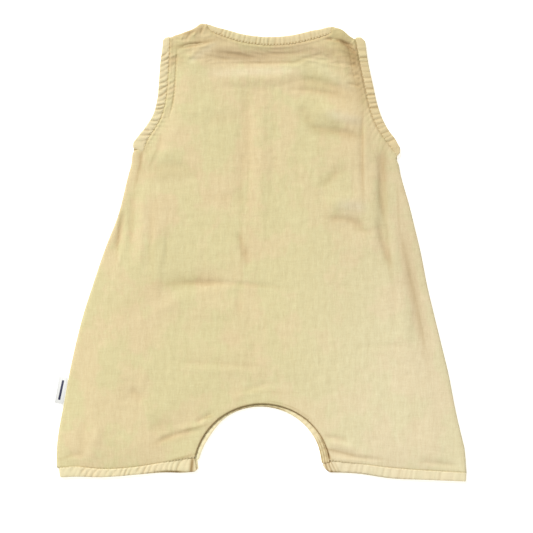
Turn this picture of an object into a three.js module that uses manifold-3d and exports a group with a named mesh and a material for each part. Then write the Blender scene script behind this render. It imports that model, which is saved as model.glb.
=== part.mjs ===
// A sleeveless baby romper in double gauze, laid flat with its back up.
// Millimetres, +Z up, +Y towards the neck. The origin is under the middle of its bounding box.
// The front panel lies on the surface and the back panel lies on it. Tapes bind the neck and the
// armholes, bands finish the leg hems, and both run on round the sides to the other panel.
import * as THREE from "three";
import { mergeVertices } from "three/addons/utils/BufferGeometryUtils.js";
import Module from "manifold-3d";

// Cloth
const clothThickness = 1.2;
const tapeThickness = 1.6;
const facingThickness = 1.0;
const seamGap = 0.3;
const gatherHeight = 0.5;

// Levels: the front layer rests on the surface and the back layer is held up by it
const frontTapeMiddle = tapeThickness / 2;
const backTapeMiddle = tapeThickness * 1.5 + seamGap;
const foldRadius = (backTapeMiddle - frontTapeMiddle) / 2;
const foldMiddle = (backTapeMiddle + frontTapeMiddle) / 2;
const foldReach = foldRadius + tapeThickness / 2 + seamGap;
const facingBottom = tapeThickness + seamGap;
const sideLevel = clothThickness + seamGap;
const tapeEdgeLevel = backTapeMiddle - clothThickness / 2;
const archEdgeLevel = facingBottom + facingThickness + seamGap;
const puffLevel = 4.4;

// The panels' stitched edges at the armholes, from the shoulder down
const armholeRows = [
  { leftX: -83.2, leftY: 196.0, rightX: 87.2, rightY: 195.8 },
  { leftX: -83.9, leftY: 177.0, rightX: 91.2, rightY: 174.5 },
  { leftX: -85.1, leftY: 158.0, rightX: 95.4, rightY: 153.5 },
  { leftX: -87.0, leftY: 139.5, rightX: 99.2, rightY: 135.0 },
  { leftX: -91.6, leftY: 123.4, rightX: 104.9, rightY: 118.8 },
  { leftX: -98.6, leftY: 112.0, rightX: 111.7, rightY: 106.8 },
  { leftX: -103.8, leftY: 104.0, rightX: 118.6, rightY: 98.2 },
  { leftX: -107.2, leftY: 94.4, rightX: 125.2, rightY: 88.9 },
];

// The side seams, from the underarm down to the hems' stitch lines
const sideRows = [
  { leftX: -116.9, leftY: 96, rightX: 126.6, rightY: 87.6 },
  { leftX: -116.2, leftY: 91, rightX: 125.9, rightY: 84 },
  { leftX: -122.3, leftY: 70, rightX: 129.0, rightY: 70 },
  { leftX: -128.0, leftY: 45, rightX: 136.4, rightY: 45 },
  { leftX: -132.4, leftY: 30, rightX: 140.0, rightY: 30 },
  { leftX: -138.8, leftY: 15, rightX: 143.7, rightY: 15 },
  { leftX: -144.5, leftY: 0, rightX: 147.3, rightY: 0 },
  { leftX: -154.5, leftY: -30, rightX: 153.0, rightY: -30 },
  { leftX: -163.6, leftY: -58, rightX: 159.8, rightY: -58 },
  { leftX: -170.6, leftY: -86, rightX: 166.6, rightY: -86 },
  { leftX: -176.4, leftY: -113, rightX: 173.2, rightY: -113 },
  { leftX: -181.2, leftY: -140, rightX: 178.2, rightY: -140 },
  { leftX: -185.8, leftY: -164, rightX: 183.6, rightY: -164 },
  { leftX: -187.7, leftY: -182, rightX: 188.0, rightY: -182 },
  { leftX: -187.3, leftY: -197.2, rightX: 188.8, rightY: -201.4 },
];

// The shoulders, from the armhole in to the neck
const shoulderRows = [
  { leftX: -83.2, leftY: 196.0, rightX: 87.2, rightY: 195.8 },
  { leftX: -78.6, leftY: 199.4, rightX: 83.2, rightY: 197.8 },
  { leftX: -69.0, leftY: 203.4, rightX: 79.2, rightY: 201.6 },
  { leftX: -60.6, leftY: 206.2, rightX: 75.4, rightY: 205.3 },
  { leftX: -53.2, leftY: 209.4, rightX: 70.4, rightY: 207.2 },
  { leftX: -50.8, leftY: 210.0, rightX: 66.9, rightY: 207.4 },
];

// The back neck's stitch line, and the front one, a scoop given by how far out of its middle it is
const neckRows = [
  { x: -47.8, y: 204.2 },
  { x: -41.9, y: 201.6 },
  { x: -30.6, y: 197.2 },
  { x: -18.9, y: 193.8 },
  { x: 4.1, y: 190.6 },
  { x: 27.1, y: 191.6 },
  { x: 48.6, y: 196.2 },
  { x: 65.3, y: 201.5 },
];
const scoopMiddle = 8.75;
const scoopRows = [
  { out: 56.5, y: 200.2 },
  { out: 47.6, y: 197.4 },
  { out: 39.5, y: 191.8 },
  { out: 30.5, y: 181.4 },
  { out: 20.0, y: 170.6 },
  { out: 10.0, y: 164.4 },
  { out: 0.25, y: 162.2 },
];

// How wide each tape is. At is its share of the way along the back, for an armhole from the shoulder.
const tapeWidths = {
  neck: [
    { at: 0, width: 7.8 },
    { at: 0.25, width: 7.6 },
    { at: 0.55, width: 8.1 },
    { at: 0.85, width: 8.3 },
    { at: 1, width: 6.2 },
  ],
  left: [
    { at: 0, width: 6.4 },
    { at: 0.25, width: 8.2 },
    { at: 0.85, width: 8.0 },
    { at: 1, width: 10.4 },
  ],
  right: [
    { at: 0, width: 8.4 },
    { at: 0.3, width: 7.8 },
    { at: 0.89, width: 8.1 },
    { at: 1, width: 4.2 },
  ],
};

// The crotch is the top of an ellipse on each panel, down to where the hems' stitch lines start
const backArch = { middle: 1.4, base: -200, halfWidth: 63.3, height: 61.8 };
const frontArch = { middle: -0.2, base: -198, halfWidth: 57.0, height: 56.8 };
const crotchEnd = { left: -187, right: -190 };
const crotchBandWidth = 12;
const facingWidth = 11;
const facingShows = 0.9;
const crotchCorner = 0.25;
const stripEndRoom = 0.0012;

// The leg hems: the stitch line, and the lower edge of the band on the back and on the front
const leftHemRows = [
  { x: -60.8, stitch: -187.0, back: -200.4, front: -200.8 },
  { x: -72.0, stitch: -188.8, back: -201.0, front: -202.2 },
  { x: -89.7, stitch: -191.8, back: -200.2, front: -201.8 },
  { x: -114.5, stitch: -196.0, back: -203.6, front: -203.8 },
  { x: -145.8, stitch: -198.0, back: -206.0, front: -206.0 },
  { x: -170.7, stitch: -195.6, back: -205.6, front: -205.6 },
  { x: -187.3, stitch: -197.2, back: -206.4, front: -206.4 },
];
const rightHemRows = [
  { x: 64.0, stitch: -190.0, back: -200.8, front: -201.6 },
  { x: 92.0, stitch: -193.2, back: -202.2, front: -203.0 },
  { x: 120.0, stitch: -196.9, back: -206.6, front: -207.2 },
  { x: 151.3, stitch: -199.2, back: -208.4, front: -208.6 },
  { x: 188.8, stitch: -201.4, back: -210.0, front: -210.0 },
];
const hemCornerInset = { left: 1.4, right: -0.6 };
const frontHemReach = { left: 2.5, right: 7 };

// The front opens at a placket, for the head
const placket = { middle: -2, width: 20, bottom: -9, thickness: 2.6 };
const button = { diameter: 9, thickness: 1.3, count: 4, top: 147, pitch: 46, sides: 16 };

// A folded label, sewn into the left side seam
const label = { seamY: -127, length: 25, width: 8.2, thickness: 1.0, rootZ: 1.7, tipZ: 0.55, cells: 6 };

// Gathers on the back of each tape. Sway shifts each one by up to this share of the space between them.
const gathers = { neck: 24, armhole: 19, hem: 19 };
const gatherSway = { share: 0.35, rate: 1.7 };
const stationsPerGather = 3;

// How many stretches the tapes have on the front, and how much of a neck tape leans out at its ends
const frontStretches = { scoop: 14, armhole: 16, hem: 20 };
const leanShare = { left: 0.26, right: 0.16, scoop: 0.5 };

// How many stretches the front panel's edges and the crotch strips have
const outlineCells = { shoulder: 6, armhole: 16, long: 26, hem: 12 };
const stripCells = 34;

// How finely a curve is sampled where a point on it is looked for
const fineSamples = 200;

// The largest folds of the back panel. A negative height is a trough, and turn is in degrees from +X.
const folds = [
  { name: "hollow under the neck", x: -10, y: 181, length: 104, width: 9, height: -1.5, turn: -2 },
  { name: "ridge over the front neckline", x: 0, y: 166, length: 88, width: 8, height: 1.1, turn: 2 },
  { name: "left shoulder roll", x: -64, y: 198, length: 34, width: 6, height: 1.0, turn: 22 },
  { name: "left shoulder crease", x: -66, y: 188, length: 36, width: 6, height: -1.4, turn: 14 },
  { name: "right shoulder crease", x: 80, y: 186, length: 24, width: 6, height: -1.5, turn: -38 },
  { name: "right yoke trough", x: 60, y: 150, length: 78, width: 8, height: -1.1, turn: -12 },
  { name: "right yoke ridge", x: 73, y: 126, length: 52, width: 8, height: 1.3, turn: -12 },
  { name: "right yoke fold", x: 64, y: 110, length: 62, width: 7, height: -1.6, turn: -9 },
  { name: "left chest trough", x: -78, y: 68, length: 60, width: 8, height: -0.9, turn: -3 },
  { name: "placket's left edge", x: -15, y: 84, length: 150, width: 7, height: -1.2, turn: -89 },
  { name: "placket's middle", x: 0, y: 84, length: 150, width: 7, height: 0.8, turn: -90 },
  { name: "right side trough", x: 114, y: 38, length: 112, width: 7, height: -2.2, turn: -88 },
  { name: "right side ridge", x: 102, y: 36, length: 96, width: 7, height: 1.0, turn: -88 },
  { name: "right waist ridge", x: 78, y: 46, length: 40, width: 9, height: 1.2, turn: 4 },
  { name: "right waist dimple", x: 84, y: 26, length: 38, width: 7, height: -1.6, turn: -24 },
  { name: "belly crease", x: -24, y: -33, length: 112, width: 7, height: -1.4, turn: -3 },
  { name: "belly ridge", x: -40, y: -48, length: 90, width: 9, height: 0.8, turn: 4 },
  { name: "left side tuck", x: -126, y: 12, length: 56, width: 6, height: -1.8, turn: 74 },
  { name: "left side ridge", x: -96, y: 10, length: 104, width: 8, height: 0.9, turn: 88 },
  { name: "right hip trough", x: 144, y: -46, length: 104, width: 8, height: -1.3, turn: -78 },
  { name: "right hip ridge", x: 127, y: -60, length: 90, width: 9, height: 0.9, turn: -84 },
  { name: "left hip trough", x: -138, y: -60, length: 80, width: 8, height: -1.0, turn: 74 },
  { name: "left leg crease", x: -78, y: -160, length: 60, width: 7, height: -1.6, turn: 13 },
  { name: "left leg dimple", x: -113, y: -130, length: 30, width: 8, height: -1.2, turn: -60 },
  { name: "left leg ridge", x: -158, y: -170, length: 44, width: 7, height: 1.1, turn: 84 },
  { name: "right leg crease", x: 88, y: -170, length: 56, width: 7, height: -1.4, turn: -18 },
  { name: "right leg ridge", x: 140, y: -148, length: 64, width: 9, height: 0.9, turn: -80 },
];

// The part of half a fold's length over which it fades out
const foldFade = 2 / 3;

// How far each edge's own level reaches into the back panel
const sideReach = 30;
const tapeReach = 18;
const archReach = 36;
const archShelf = 19;
const placketReach = 5;

// The back panel's grid, in cells
const cells = {
  shoulder: 5,
  neck: 22,
  leg: 12,
  arch: 10,
  armhole: 12,
  underarm: 1,
  side: 20,
  legSide: 5,
};
const relaxSteps = 40;

const clothColour = 0xe4d5a4;
const labelColour = 0xf3f3f0;
const buttonColour = 0xefe6cd;

// A smooth plan curve through rows that name their columns
function curveThrough(rows, xColumn, yColumn) {
  const points = rows.map((row) => new THREE.Vector3(row[xColumn], row[yColumn], 0));
  return new THREE.CatmullRomCurve3(points, false, "centripetal");
}

function sideCurve(side) {
  return curveThrough(sideRows, side + "X", side + "Y");
}

function armholeCurve(side) {
  return curveThrough(armholeRows, side + "X", side + "Y");
}

function shoulderCurve(side) {
  return curveThrough(shoulderRows, side + "X", side + "Y");
}

// The back neckline, from its left end
const neckCurve = curveThrough(neckRows, "x", "y");
const neckLowest = Math.min(...neckRows.map(({ y }) => y));

// The way from an end of the back neckline to the shoulder, which the tape's end lies along
function neckEndWay(side) {
  const end = neckCurve.getPoint(side === "left" ? 0 : 1);
  return shoulderCurve(side).getPoint(1).sub(end).normalize();
}

// The share of the back neckline that the tape's fold takes up at an end
function neckTrim(side) {
  const tangent = neckCurve.getTangentAt(side === "left" ? 0 : 1);
  const slant = tangent.cross(neckEndWay(side)).length();
  return (foldReach - seamGap + seamGap / slant) / neckCurve.getLength();
}

// The left half of the front scoop, or its mirror image
function scoopCurve(mirror) {
  const points = scoopRows.map(({ out, y }) => new THREE.Vector3(scoopMiddle + mirror * out, y, 0));
  return new THREE.CatmullRomCurve3(points, false, "centripetal");
}

// A point of a crotch ellipse, grown outwards by grow. Share 0 is its right end and 1 its left end.
function archPoint(arch, share, grow = 0) {
  const rightTurn = Math.asin((crotchEnd.right - arch.base) / arch.height);
  const leftTurn = Math.PI - Math.asin((crotchEnd.left - arch.base) / arch.height);
  const turn = rightTurn + (leftTurn - rightTurn) * share;
  const x = arch.middle + (arch.halfWidth + grow) * Math.cos(turn);
  const y = arch.base + (arch.height + grow) * Math.sin(turn);
  return new THREE.Vector3(x, y, 0);
}

function spread(count, pointAt) {
  return Array.from({ length: count + 1 }, (_, i) => pointAt(i / count));
}

// Runs of points joined end to end, without the doubled points at the joins
function chain(...runs) {
  return runs.reduce((all, run) => all.concat(run.slice(1)));
}

function smoothStep(share) {
  const t = THREE.MathUtils.clamp(share, 0, 1);
  return t * t * (3 - 2 * t);
}

// Points along a side seam, from one share of its length to another
function sideRun(side, from, to, count) {
  const curve = sideCurve(side);
  return spread(count, (share) => curve.getPointAt(from + (to - from) * share));
}

// The width at a share of the way along, from rows of { at, width }
function widthAlong(rows, share) {
  const next = Math.max(1, rows.findIndex(({ at }) => share <= at));
  const [from, to] = [rows[next - 1], rows[next]];
  return from.width + (to.width - from.width) * smoothStep((share - from.at) / (to.at - from.at));
}

function smallestDistance(point, others) {
  return Math.min(...others.map((other) => Math.hypot(point.x - other.x, point.y - other.y)));
}

function foldHeight(fold, x, y) {
  const turn = THREE.MathUtils.degToRad(fold.turn);
  const along = (x - fold.x) * Math.cos(turn) + (y - fold.y) * Math.sin(turn);
  const across = -(x - fold.x) * Math.sin(turn) + (y - fold.y) * Math.cos(turn);
  const half = fold.length / 2;
  const end = smoothStep((half - Math.abs(along)) / (half * foldFade));
  return fold.height * end * Math.exp(-((across / fold.width) ** 2));
}

// The edges that give the back panel its levels
const edgeSamples = 60;
const seamPoints = [...sideRun("left", 0, 1, edgeSamples), ...sideRun("right", 0, 1, edgeSamples)];
const tapePoints = [
  ...armholeCurve("left").getSpacedPoints(edgeSamples),
  ...armholeCurve("right").getSpacedPoints(edgeSamples),
  ...neckCurve.getSpacedPoints(edgeSamples),
  ...curveThrough(leftHemRows, "x", "stitch").getSpacedPoints(edgeSamples),
  ...curveThrough(rightHemRows, "x", "stitch").getSpacedPoints(edgeSamples),
];
const archPoints = spread(edgeSamples, (share) => archPoint(backArch, share));

// The level of the back panel's inside at a point: puffed in the middle, and held down at its edges
function backLevel(point) {
  const rise = smoothStep(smallestDistance(point, seamPoints) / sideReach);
  let level = sideLevel + (puffLevel - sideLevel) * rise;
  for (const fold of folds) level += foldHeight(fold, point.x, point.y) * rise;
  const onTape = smoothStep(1 - smallestDistance(point, tapePoints) / tapeReach);
  level += (tapeEdgeLevel - level) * onTape;
  const onArch = smoothStep((archReach - smallestDistance(point, archPoints)) / (archReach - archShelf));
  level += (archEdgeLevel - level) * onArch;
  const offPlacket = Math.abs(point.x - placket.middle) - placket.width / 2;
  const besidePlacket = offPlacket < placketReach && point.y < neckLowest - tapeReach;
  const overPlacket = besidePlacket && point.y > placket.bottom - tapeReach;
  const floor = overPlacket ? placket.thickness : clothThickness;
  return Math.max(level, floor + seamGap);
}

// A grid of plan points between four runs, by blending them
function blendedGrid(top, bottom, left, right) {
  const across = top.length - 1;
  const down = left.length - 1;
  const rows = [];
  for (let j = 0; j <= down; j++) {
    const v = j / down;
    const row = [];
    for (let i = 0; i <= across; i++) {
      const u = i / across;
      const point = new THREE.Vector3();
      point.addScaledVector(top[i], 1 - v).addScaledVector(bottom[i], v);
      point.addScaledVector(left[j], 1 - u).addScaledVector(right[j], u);
      point.addScaledVector(top[0], -(1 - u) * (1 - v)).addScaledVector(top[across], -u * (1 - v));
      point.addScaledVector(bottom[0], -(1 - u) * v).addScaledVector(bottom[across], -u * v);
      row.push(point);
    }
    rows.push(row);
  }
  return rows;
}

// A sheet is a list of points and a list of triangles that face up
class Sheet {
  constructor() {
    this.points = [];
    this.triangles = [];
    this.indexOf = new Map();
  }

  index(point) {
    const key = point.x.toFixed(3) + " " + point.y.toFixed(3);
    if (!this.indexOf.has(key)) {
      this.indexOf.set(key, this.points.length);
      this.points.push(point.clone());
    }
    return this.indexOf.get(key);
  }

  addGrid(rows) {
    for (let j = 1; j < rows.length; j++) {
      for (let i = 1; i < rows[j].length; i++) {
        const [a, b] = [this.index(rows[j][i - 1]), this.index(rows[j][i])];
        const [c, d] = [this.index(rows[j - 1][i]), this.index(rows[j - 1][i - 1])];
        this.triangles.push([a, b, c], [a, c, d]);
      }
    }
  }

  // The directed edges that only one triangle has, which go round the sheet with it on their left
  rim() {
    const edges = new Map();
    for (const [a, b, c] of this.triangles) {
      for (const [p, q] of [[a, b], [b, c], [c, a]]) {
        if (!edges.delete(q + " " + p)) edges.set(p + " " + q, [p, q]);
      }
    }
    return [...edges.values()];
  }

  // Evens out the inner points in plan
  relax(steps) {
    const onRim = new Set(this.rim().flat());
    const near = this.points.map(() => new Set());
    this.triangles.forEach((corners, n) => {
      const [a, b, c] = corners;
      const sides = n % 2 ? [[b, c], [c, a]] : [[a, b], [b, c]];
      for (const [p, q] of sides) {
        near[p].add(q);
        near[q].add(p);
      }
    });
    for (let step = 0; step < steps; step++) {
      this.points.forEach((point, i) => {
        if (onRim.has(i)) return;
        const middle = new THREE.Vector3();
        for (const j of near[i]) middle.addScaledVector(this.points[j], 1 / near[i].size);
        point.copy(middle);
      });
    }
  }

  // A closed wall over the sheet, with its inside at levelAt(point)
  wall(thickness, levelAt) {
    const count = this.points.length;
    const inner = this.points.map((point) => new THREE.Vector3(point.x, point.y, levelAt(point)));
    const outer = inner.map((point) => new THREE.Vector3(point.x, point.y, point.z + thickness));
    const triangles = [];
    for (const [a, b, c] of this.triangles) triangles.push([a + count, b + count, c + count], [a, c, b]);
    for (const [a, b] of this.rim()) triangles.push([a, b, b + count], [a, b + count, a + count]);
    return closedGeometry([...inner, ...outer], triangles);
  }
}

// A geometry of a closed surface, with its faces turned outwards
function closedGeometry(points, triangles) {
  let volume = 0;
  for (const [a, b, c] of triangles) {
    volume += points[a].dot(new THREE.Vector3().crossVectors(points[b], points[c]));
  }
  const turned = volume < 0 ? triangles.map(([a, b, c]) => [a, c, b]) : triangles;
  const geometry = new THREE.BufferGeometry().setFromPoints(points);
  geometry.setIndex(turned.flat());
  geometry.computeVertexNormals();
  return geometry;
}

// A flat plate on the surface, from its outline
function plate(outline, depth) {
  const shape = new THREE.Shape(outline.map(({ x, y }) => new THREE.Vector2(x, y)));
  return new THREE.ExtrudeGeometry(shape, { depth, bevelEnabled: false });
}

// Geometry to solid and back, for cutting
const wasm = await Module();
wasm.setup();

function solidOf(geometry) {
  const bare = new THREE.BufferGeometry().setAttribute("position", geometry.getAttribute("position"));
  const merged = mergeVertices(geometry.index ? bare.setIndex(geometry.index) : bare);
  const vertProperties = Float32Array.from(merged.getAttribute("position").array);
  const triVerts = Uint32Array.from(merged.index.array);
  return new wasm.Manifold(new wasm.Mesh({ numProp: 3, vertProperties, triVerts }));
}

function geometryOf(solid) {
  const { vertProperties, triVerts } = solid.getMesh();
  const geometry = new THREE.BufferGeometry();
  geometry.setAttribute("position", new THREE.BufferAttribute(vertProperties, 3));
  geometry.setIndex(new THREE.BufferAttribute(triVerts, 1));
  geometry.computeVertexNormals();
  return geometry;
}

// A folded tape's section, as shares of its half width and half thickness
const tapeSection = [
  { across: 1, up: -0.4 },
  { across: 1, up: 0.4 },
  { across: 0.8, up: 1 },
  { across: -0.8, up: 1 },
  { across: -1, up: 0.4 },
  { across: -1, up: -0.4 },
  { across: -0.8, up: -1 },
  { across: 0.8, up: -1 },
];
const flatSection = [
  { across: 1, up: -1 },
  { across: 1, up: 1 },
  { across: -1, up: 1 },
  { across: -1, up: -1 },
];

// Carries a section along stations of { middle, outward, up, halfWidth, halfThickness, lift }
function sweep(stations, section, closed = false) {
  const points = [];
  for (const station of stations) {
    for (const { across, up } of section) {
      const lift = up === 1 ? station.lift ?? 0 : 0;
      points.push(
        station.middle
          .clone()
          .addScaledVector(station.outward, across * station.halfWidth)
          .addScaledVector(station.up, up * station.halfThickness + lift),
      );
    }
  }
  const size = section.length;
  const count = stations.length;
  const triangles = [];
  for (let k = 0; k < (closed ? count : count - 1); k++) {
    const here = k * size;
    const next = ((k + 1) % count) * size;
    for (let j = 0; j < size; j++) {
      const after = (j + 1) % size;
      triangles.push([here + j, here + after, next + after], [here + j, next + after, next + j]);
    }
  }
  if (!closed) {
    const last = (count - 1) * size;
    for (let j = 2; j < size; j++) triangles.push([0, j, j - 1], [last, last + j - 1, last + j]);
  }
  return closedGeometry(points, triangles);
}

// The stations of a tape that lies along a run of edge points, outwards of it by the seam gap.
// hand is 1 where outwards is to the right of the run, and -1 where it is to the left.
// Leans turn the tape's width to another way near a share of the run.
function tapeStations(edge, { hand, onBack, widthAt, gatherCount = 0, leans = [] }) {
  const up = new THREE.Vector3(0, 0, onBack ? 1 : -1);
  const level = onBack ? backTapeMiddle : frontTapeMiddle;
  return edge.map((point, i) => {
    const before = edge[Math.max(i - 1, 0)];
    const after = edge[Math.min(i + 1, edge.length - 1)];
    const along = after.clone().sub(before).normalize();
    const square = new THREE.Vector3(along.y, -along.x, 0).multiplyScalar(hand);
    const outward = square.clone();
    const share = i / (edge.length - 1);
    for (const { at, way, reach } of leans) {
      outward.lerp(way, 1 - smoothStep(Math.abs(share - at) / reach)).normalize();
    }
    const halfWidth = widthAt(share) / 2;
    const gap = seamGap / outward.dot(square);
    const middle = point.clone().addScaledVector(outward, gap + halfWidth).setZ(level);
    const order = share * gatherCount;
    const uneven = order + gatherSway.share * Math.sin(order * gatherSway.rate);
    const ease = smoothStep(Math.min(share, 1 - share) * gatherCount);
    const wave = 0.5 - 0.5 * Math.cos(2 * Math.PI * uneven);
    const lift = gatherCount ? gatherHeight * wave * ease : 0;
    return { middle, outward, up, halfWidth, halfThickness: tapeThickness / 2, lift };
  });
}

// The half turn by which a tape goes over an edge to the other layer, after its station last
function foldOver(last, forward, steps = 4) {
  const pivot = last.middle.clone().setZ(foldMiddle);
  return Array.from({ length: steps - 1 }, (_, k) => {
    const turn = (Math.PI * (k + 1)) / steps;
    const up = last.up.clone().multiplyScalar(Math.cos(turn)).addScaledVector(forward, Math.sin(turn));
    const middle = pivot.clone().addScaledVector(up, foldRadius);
    return { ...last, middle, up, lift: 0 };
  });
}

function heading(run) {
  const [before, last] = run.slice(-2);
  return last.clone().sub(before).normalize();
}

function cloth(name, geometry, colour = clothColour) {
  const material = new THREE.MeshStandardMaterial({ color: colour, roughness: 0.95, metalness: 0 });
  const mesh = new THREE.Mesh(geometry, material);
  mesh.name = name;
  return mesh;
}

// The back panel: a body down to the crotch, and two legs
function backPanel() {
  const armCells = cells.armhole + cells.underarm;
  const sideShare = cells.side / (cells.side + cells.legSide);
  const top = chain(
    shoulderCurve("left").getSpacedPoints(cells.shoulder),
    [shoulderCurve("left").getPoint(1), neckCurve.getPoint(0)],
    neckCurve.getSpacedPoints(cells.neck),
    [neckCurve.getPoint(1), shoulderCurve("right").getPoint(1)],
    shoulderCurve("right").getSpacedPoints(cells.shoulder).reverse(),
  );
  const left = chain(
    armholeCurve("left").getSpacedPoints(cells.armhole),
    [armholeCurve("left").getPoint(1), sideCurve("left").getPoint(0)],
    sideRun("left", 0, sideShare, cells.side),
  );
  const right = chain(
    armholeCurve("right").getSpacedPoints(armCells - 1),
    [armholeCurve("right").getPoint(1), sideCurve("right").getPoint(0)],
    sideRun("right", 0, sideShare, cells.side),
  );
  const straight = (from, to) => spread(cells.leg, (share) => from.clone().lerp(to, share));
  const leftThigh = straight(left.at(-1), archPoint(backArch, 1 - crotchCorner));
  const rightThigh = straight(archPoint(backArch, crotchCorner), right.at(-1));
  const archTop = spread(cells.arch, (share) =>
    archPoint(backArch, 1 - crotchCorner - share * (1 - 2 * crotchCorner)),
  );
  const leftInseam = spread(cells.legSide, (share) => archPoint(backArch, 1 - crotchCorner * (1 - share)));
  const rightInseam = spread(cells.legSide, (share) => archPoint(backArch, crotchCorner * (1 - share)));
  const leftHem = curveThrough(leftHemRows, "x", "stitch").getSpacedPoints(cells.leg).reverse();
  const rightHem = curveThrough(rightHemRows, "x", "stitch").getSpacedPoints(cells.leg);
  leftHem[0] = sideCurve("left").getPoint(1);
  leftHem[cells.leg] = leftInseam.at(-1);
  rightHem[0] = rightInseam.at(-1);
  rightHem[cells.leg] = sideCurve("right").getPoint(1);

  const sheet = new Sheet();
  sheet.addGrid(blendedGrid(top, chain(leftThigh, archTop, rightThigh), left, right));
  const leftSide = sideRun("left", sideShare, 1, cells.legSide);
  const rightSide = sideRun("right", sideShare, 1, cells.legSide);
  sheet.addGrid(blendedGrid(leftThigh, leftHem, leftSide, leftInseam));
  sheet.addGrid(blendedGrid(rightThigh, rightHem, rightInseam, rightSide));
  sheet.relax(relaxSteps);
  return cloth("back_panel", sheet.wall(clothThickness, backLevel));
}

// The front panel: one flat piece with a scooped neck, slit for the placket
function frontPanel() {
  const slit = [-1, 1].map((mirror) => placket.middle + mirror * (placket.width / 2 + seamGap));
  const besideSlit = (mirror) =>
    scoopCurve(mirror)
      .getSpacedPoints(outlineCells.long)
      .filter((point) => mirror * (point.x - slit[mirror < 0 ? 0 : 1]) > 0);
  const scoopLevel = scoopRows.at(-1).y;
  const slitEnd = placket.bottom - seamGap;
  const slitCorners = [
    [slit[0], scoopLevel],
    [slit[0], slitEnd],
    [slit[1], slitEnd],
    [slit[1], scoopLevel],
  ].map(([x, y]) => new THREE.Vector3(x, y, 0));
  const beyondBand = crotchBandWidth + 2 * seamGap;
  const arch = spread(outlineCells.long, (share) => archPoint(frontArch, share, beyondBand));
  const hem = (rows) =>
    curveThrough(rows, "x", "stitch")
      .getSpacedPoints(outlineCells.hem)
      .filter(({ x }) => x > arch[0].x + 2 * seamGap || x < arch.at(-1).x - 2 * seamGap);
  const outline = [
    ...shoulderCurve("left").getSpacedPoints(outlineCells.shoulder),
    ...besideSlit(-1),
    ...slitCorners,
    ...besideSlit(1).reverse(),
    ...shoulderCurve("right").getSpacedPoints(outlineCells.shoulder).reverse(),
    ...armholeCurve("right").getSpacedPoints(outlineCells.armhole).slice(1),
    ...sideRun("right", 0, 1, outlineCells.long),
    ...hem(rightHemRows).reverse().slice(1),
    ...arch,
    ...hem(leftHemRows).slice(0, -1),
    ...sideRun("left", 1, 0, outlineCells.long),
    ...armholeCurve("left").getSpacedPoints(outlineCells.armhole).reverse().slice(0, -1),
  ];
  return cloth("front_panel", plate(outline, clothThickness));
}

// The placket's strip, from the front neckline down, as thick as its overlap, with room for its buttons
function frontPlacket() {
  const half = placket.width / 2;
  const top = scoopRows.at(-1).y - seamGap;
  const corners = [
    [placket.middle - half, top],
    [placket.middle - half, placket.bottom],
    [placket.middle + half, placket.bottom],
    [placket.middle + half, top],
  ].map(([x, y]) => new THREE.Vector3(x, y, 0));
  let strip = solidOf(plate(corners, placket.thickness));
  for (const y of buttonLevels()) strip = strip.subtract(solidOf(buttonDisc(y, seamGap)));
  return cloth("front_placket", geometryOf(strip));
}

function buttonLevels() {
  return Array.from({ length: button.count }, (_, i) => button.top - i * button.pitch);
}

// A button's disc from the surface up, or with room round it and over it
function buttonDisc(y, room = 0) {
  const radius = button.diameter / 2 + room;
  const below = room ? 1 : 0;
  const height = button.thickness + room + below;
  const disc = new THREE.CylinderGeometry(radius, radius, height, button.sides);
  disc.rotateX(Math.PI / 2);
  return disc.translate(placket.middle, y, height / 2 - below);
}

function buttons() {
  return buttonLevels().map((y, i) => cloth("button_" + (i + 1), buttonDisc(y), buttonColour));
}

// One tape round the neck. Its ends meet at the placket, and it folds over at each shoulder.
function neckBinding() {
  const gatherCount = gathers.neck;
  const widthAt = (share) => widthAlong(tapeWidths.neck, share);
  const [from, to] = [neckTrim("left"), 1 - neckTrim("right")];
  const stretches = gatherCount * stationsPerGather;
  const back = spread(stretches, (share) => neckCurve.getPointAt(from + (to - from) * share));
  const leans = [
    { at: 0, way: neckEndWay("left"), reach: leanShare.left },
    { at: 1, way: neckEndWay("right"), reach: leanShare.right },
  ];
  const over = tapeStations(back, { hand: -1, onBack: true, widthAt, gatherCount, leans });
  const scoop = (mirror, corner, end) => {
    const run = [corner, ...scoopCurve(mirror).getSpacedPoints(frontStretches.scoop).slice(1)];
    const [endWidth, fullWidth] = [end.halfWidth * 2, tapeWidths.neck[1].width];
    const scoopWidth = (share) => endWidth + (fullWidth - endWidth) * smoothStep(share * 3);
    const lean = { at: 0, way: end.outward, reach: leanShare.scoop };
    const stations = tapeStations(run, { hand: mirror, onBack: false, widthAt: scoopWidth, leans: [lean] });
    stations[0].middle = end.middle.clone().setZ(frontTapeMiddle);
    return stations;
  };
  const rise = scoop(-1, back[0], over[0]).reverse();
  const fall = scoop(1, back.at(-1), over.at(-1));
  const leftTurn = foldOver(rise.at(-1), neckCurve.getTangentAt(0).negate());
  const rightTurn = foldOver(over.at(-1), neckCurve.getTangentAt(1));
  return cloth("neck_binding", sweep([...rise, ...leftTurn, ...over, ...rightTurn, ...fall], tapeSection));
}

// One tape round an armhole: up the back, over at the shoulder, down the front and under at the side
function armholeBinding(side, name) {
  const hand = side === "left" ? -1 : 1;
  const gatherCount = gathers.armhole;
  const widthAt = (share) => widthAlong(tapeWidths[side], 1 - share);
  const curve = armholeCurve(side);
  const end = 1 - foldReach / curve.getLength();
  const run = (count) => spread(count, (share) => curve.getPointAt(end * (1 - share)));
  const back = run(gatherCount * stationsPerGather);
  const rise = tapeStations(back, { hand, onBack: true, widthAt, gatherCount });
  const front = run(frontStretches.armhole);
  const fall = tapeStations(front, { hand, onBack: false, widthAt }).reverse();
  const shoulderTurn = foldOver(rise.at(-1), heading(back));
  const underarmTurn = foldOver(fall.at(-1), heading(back.slice(0, 2).reverse()));
  return cloth(name, sweep([...rise, ...shoulderTurn, ...fall, ...underarmTurn], tapeSection, true));
}

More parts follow.
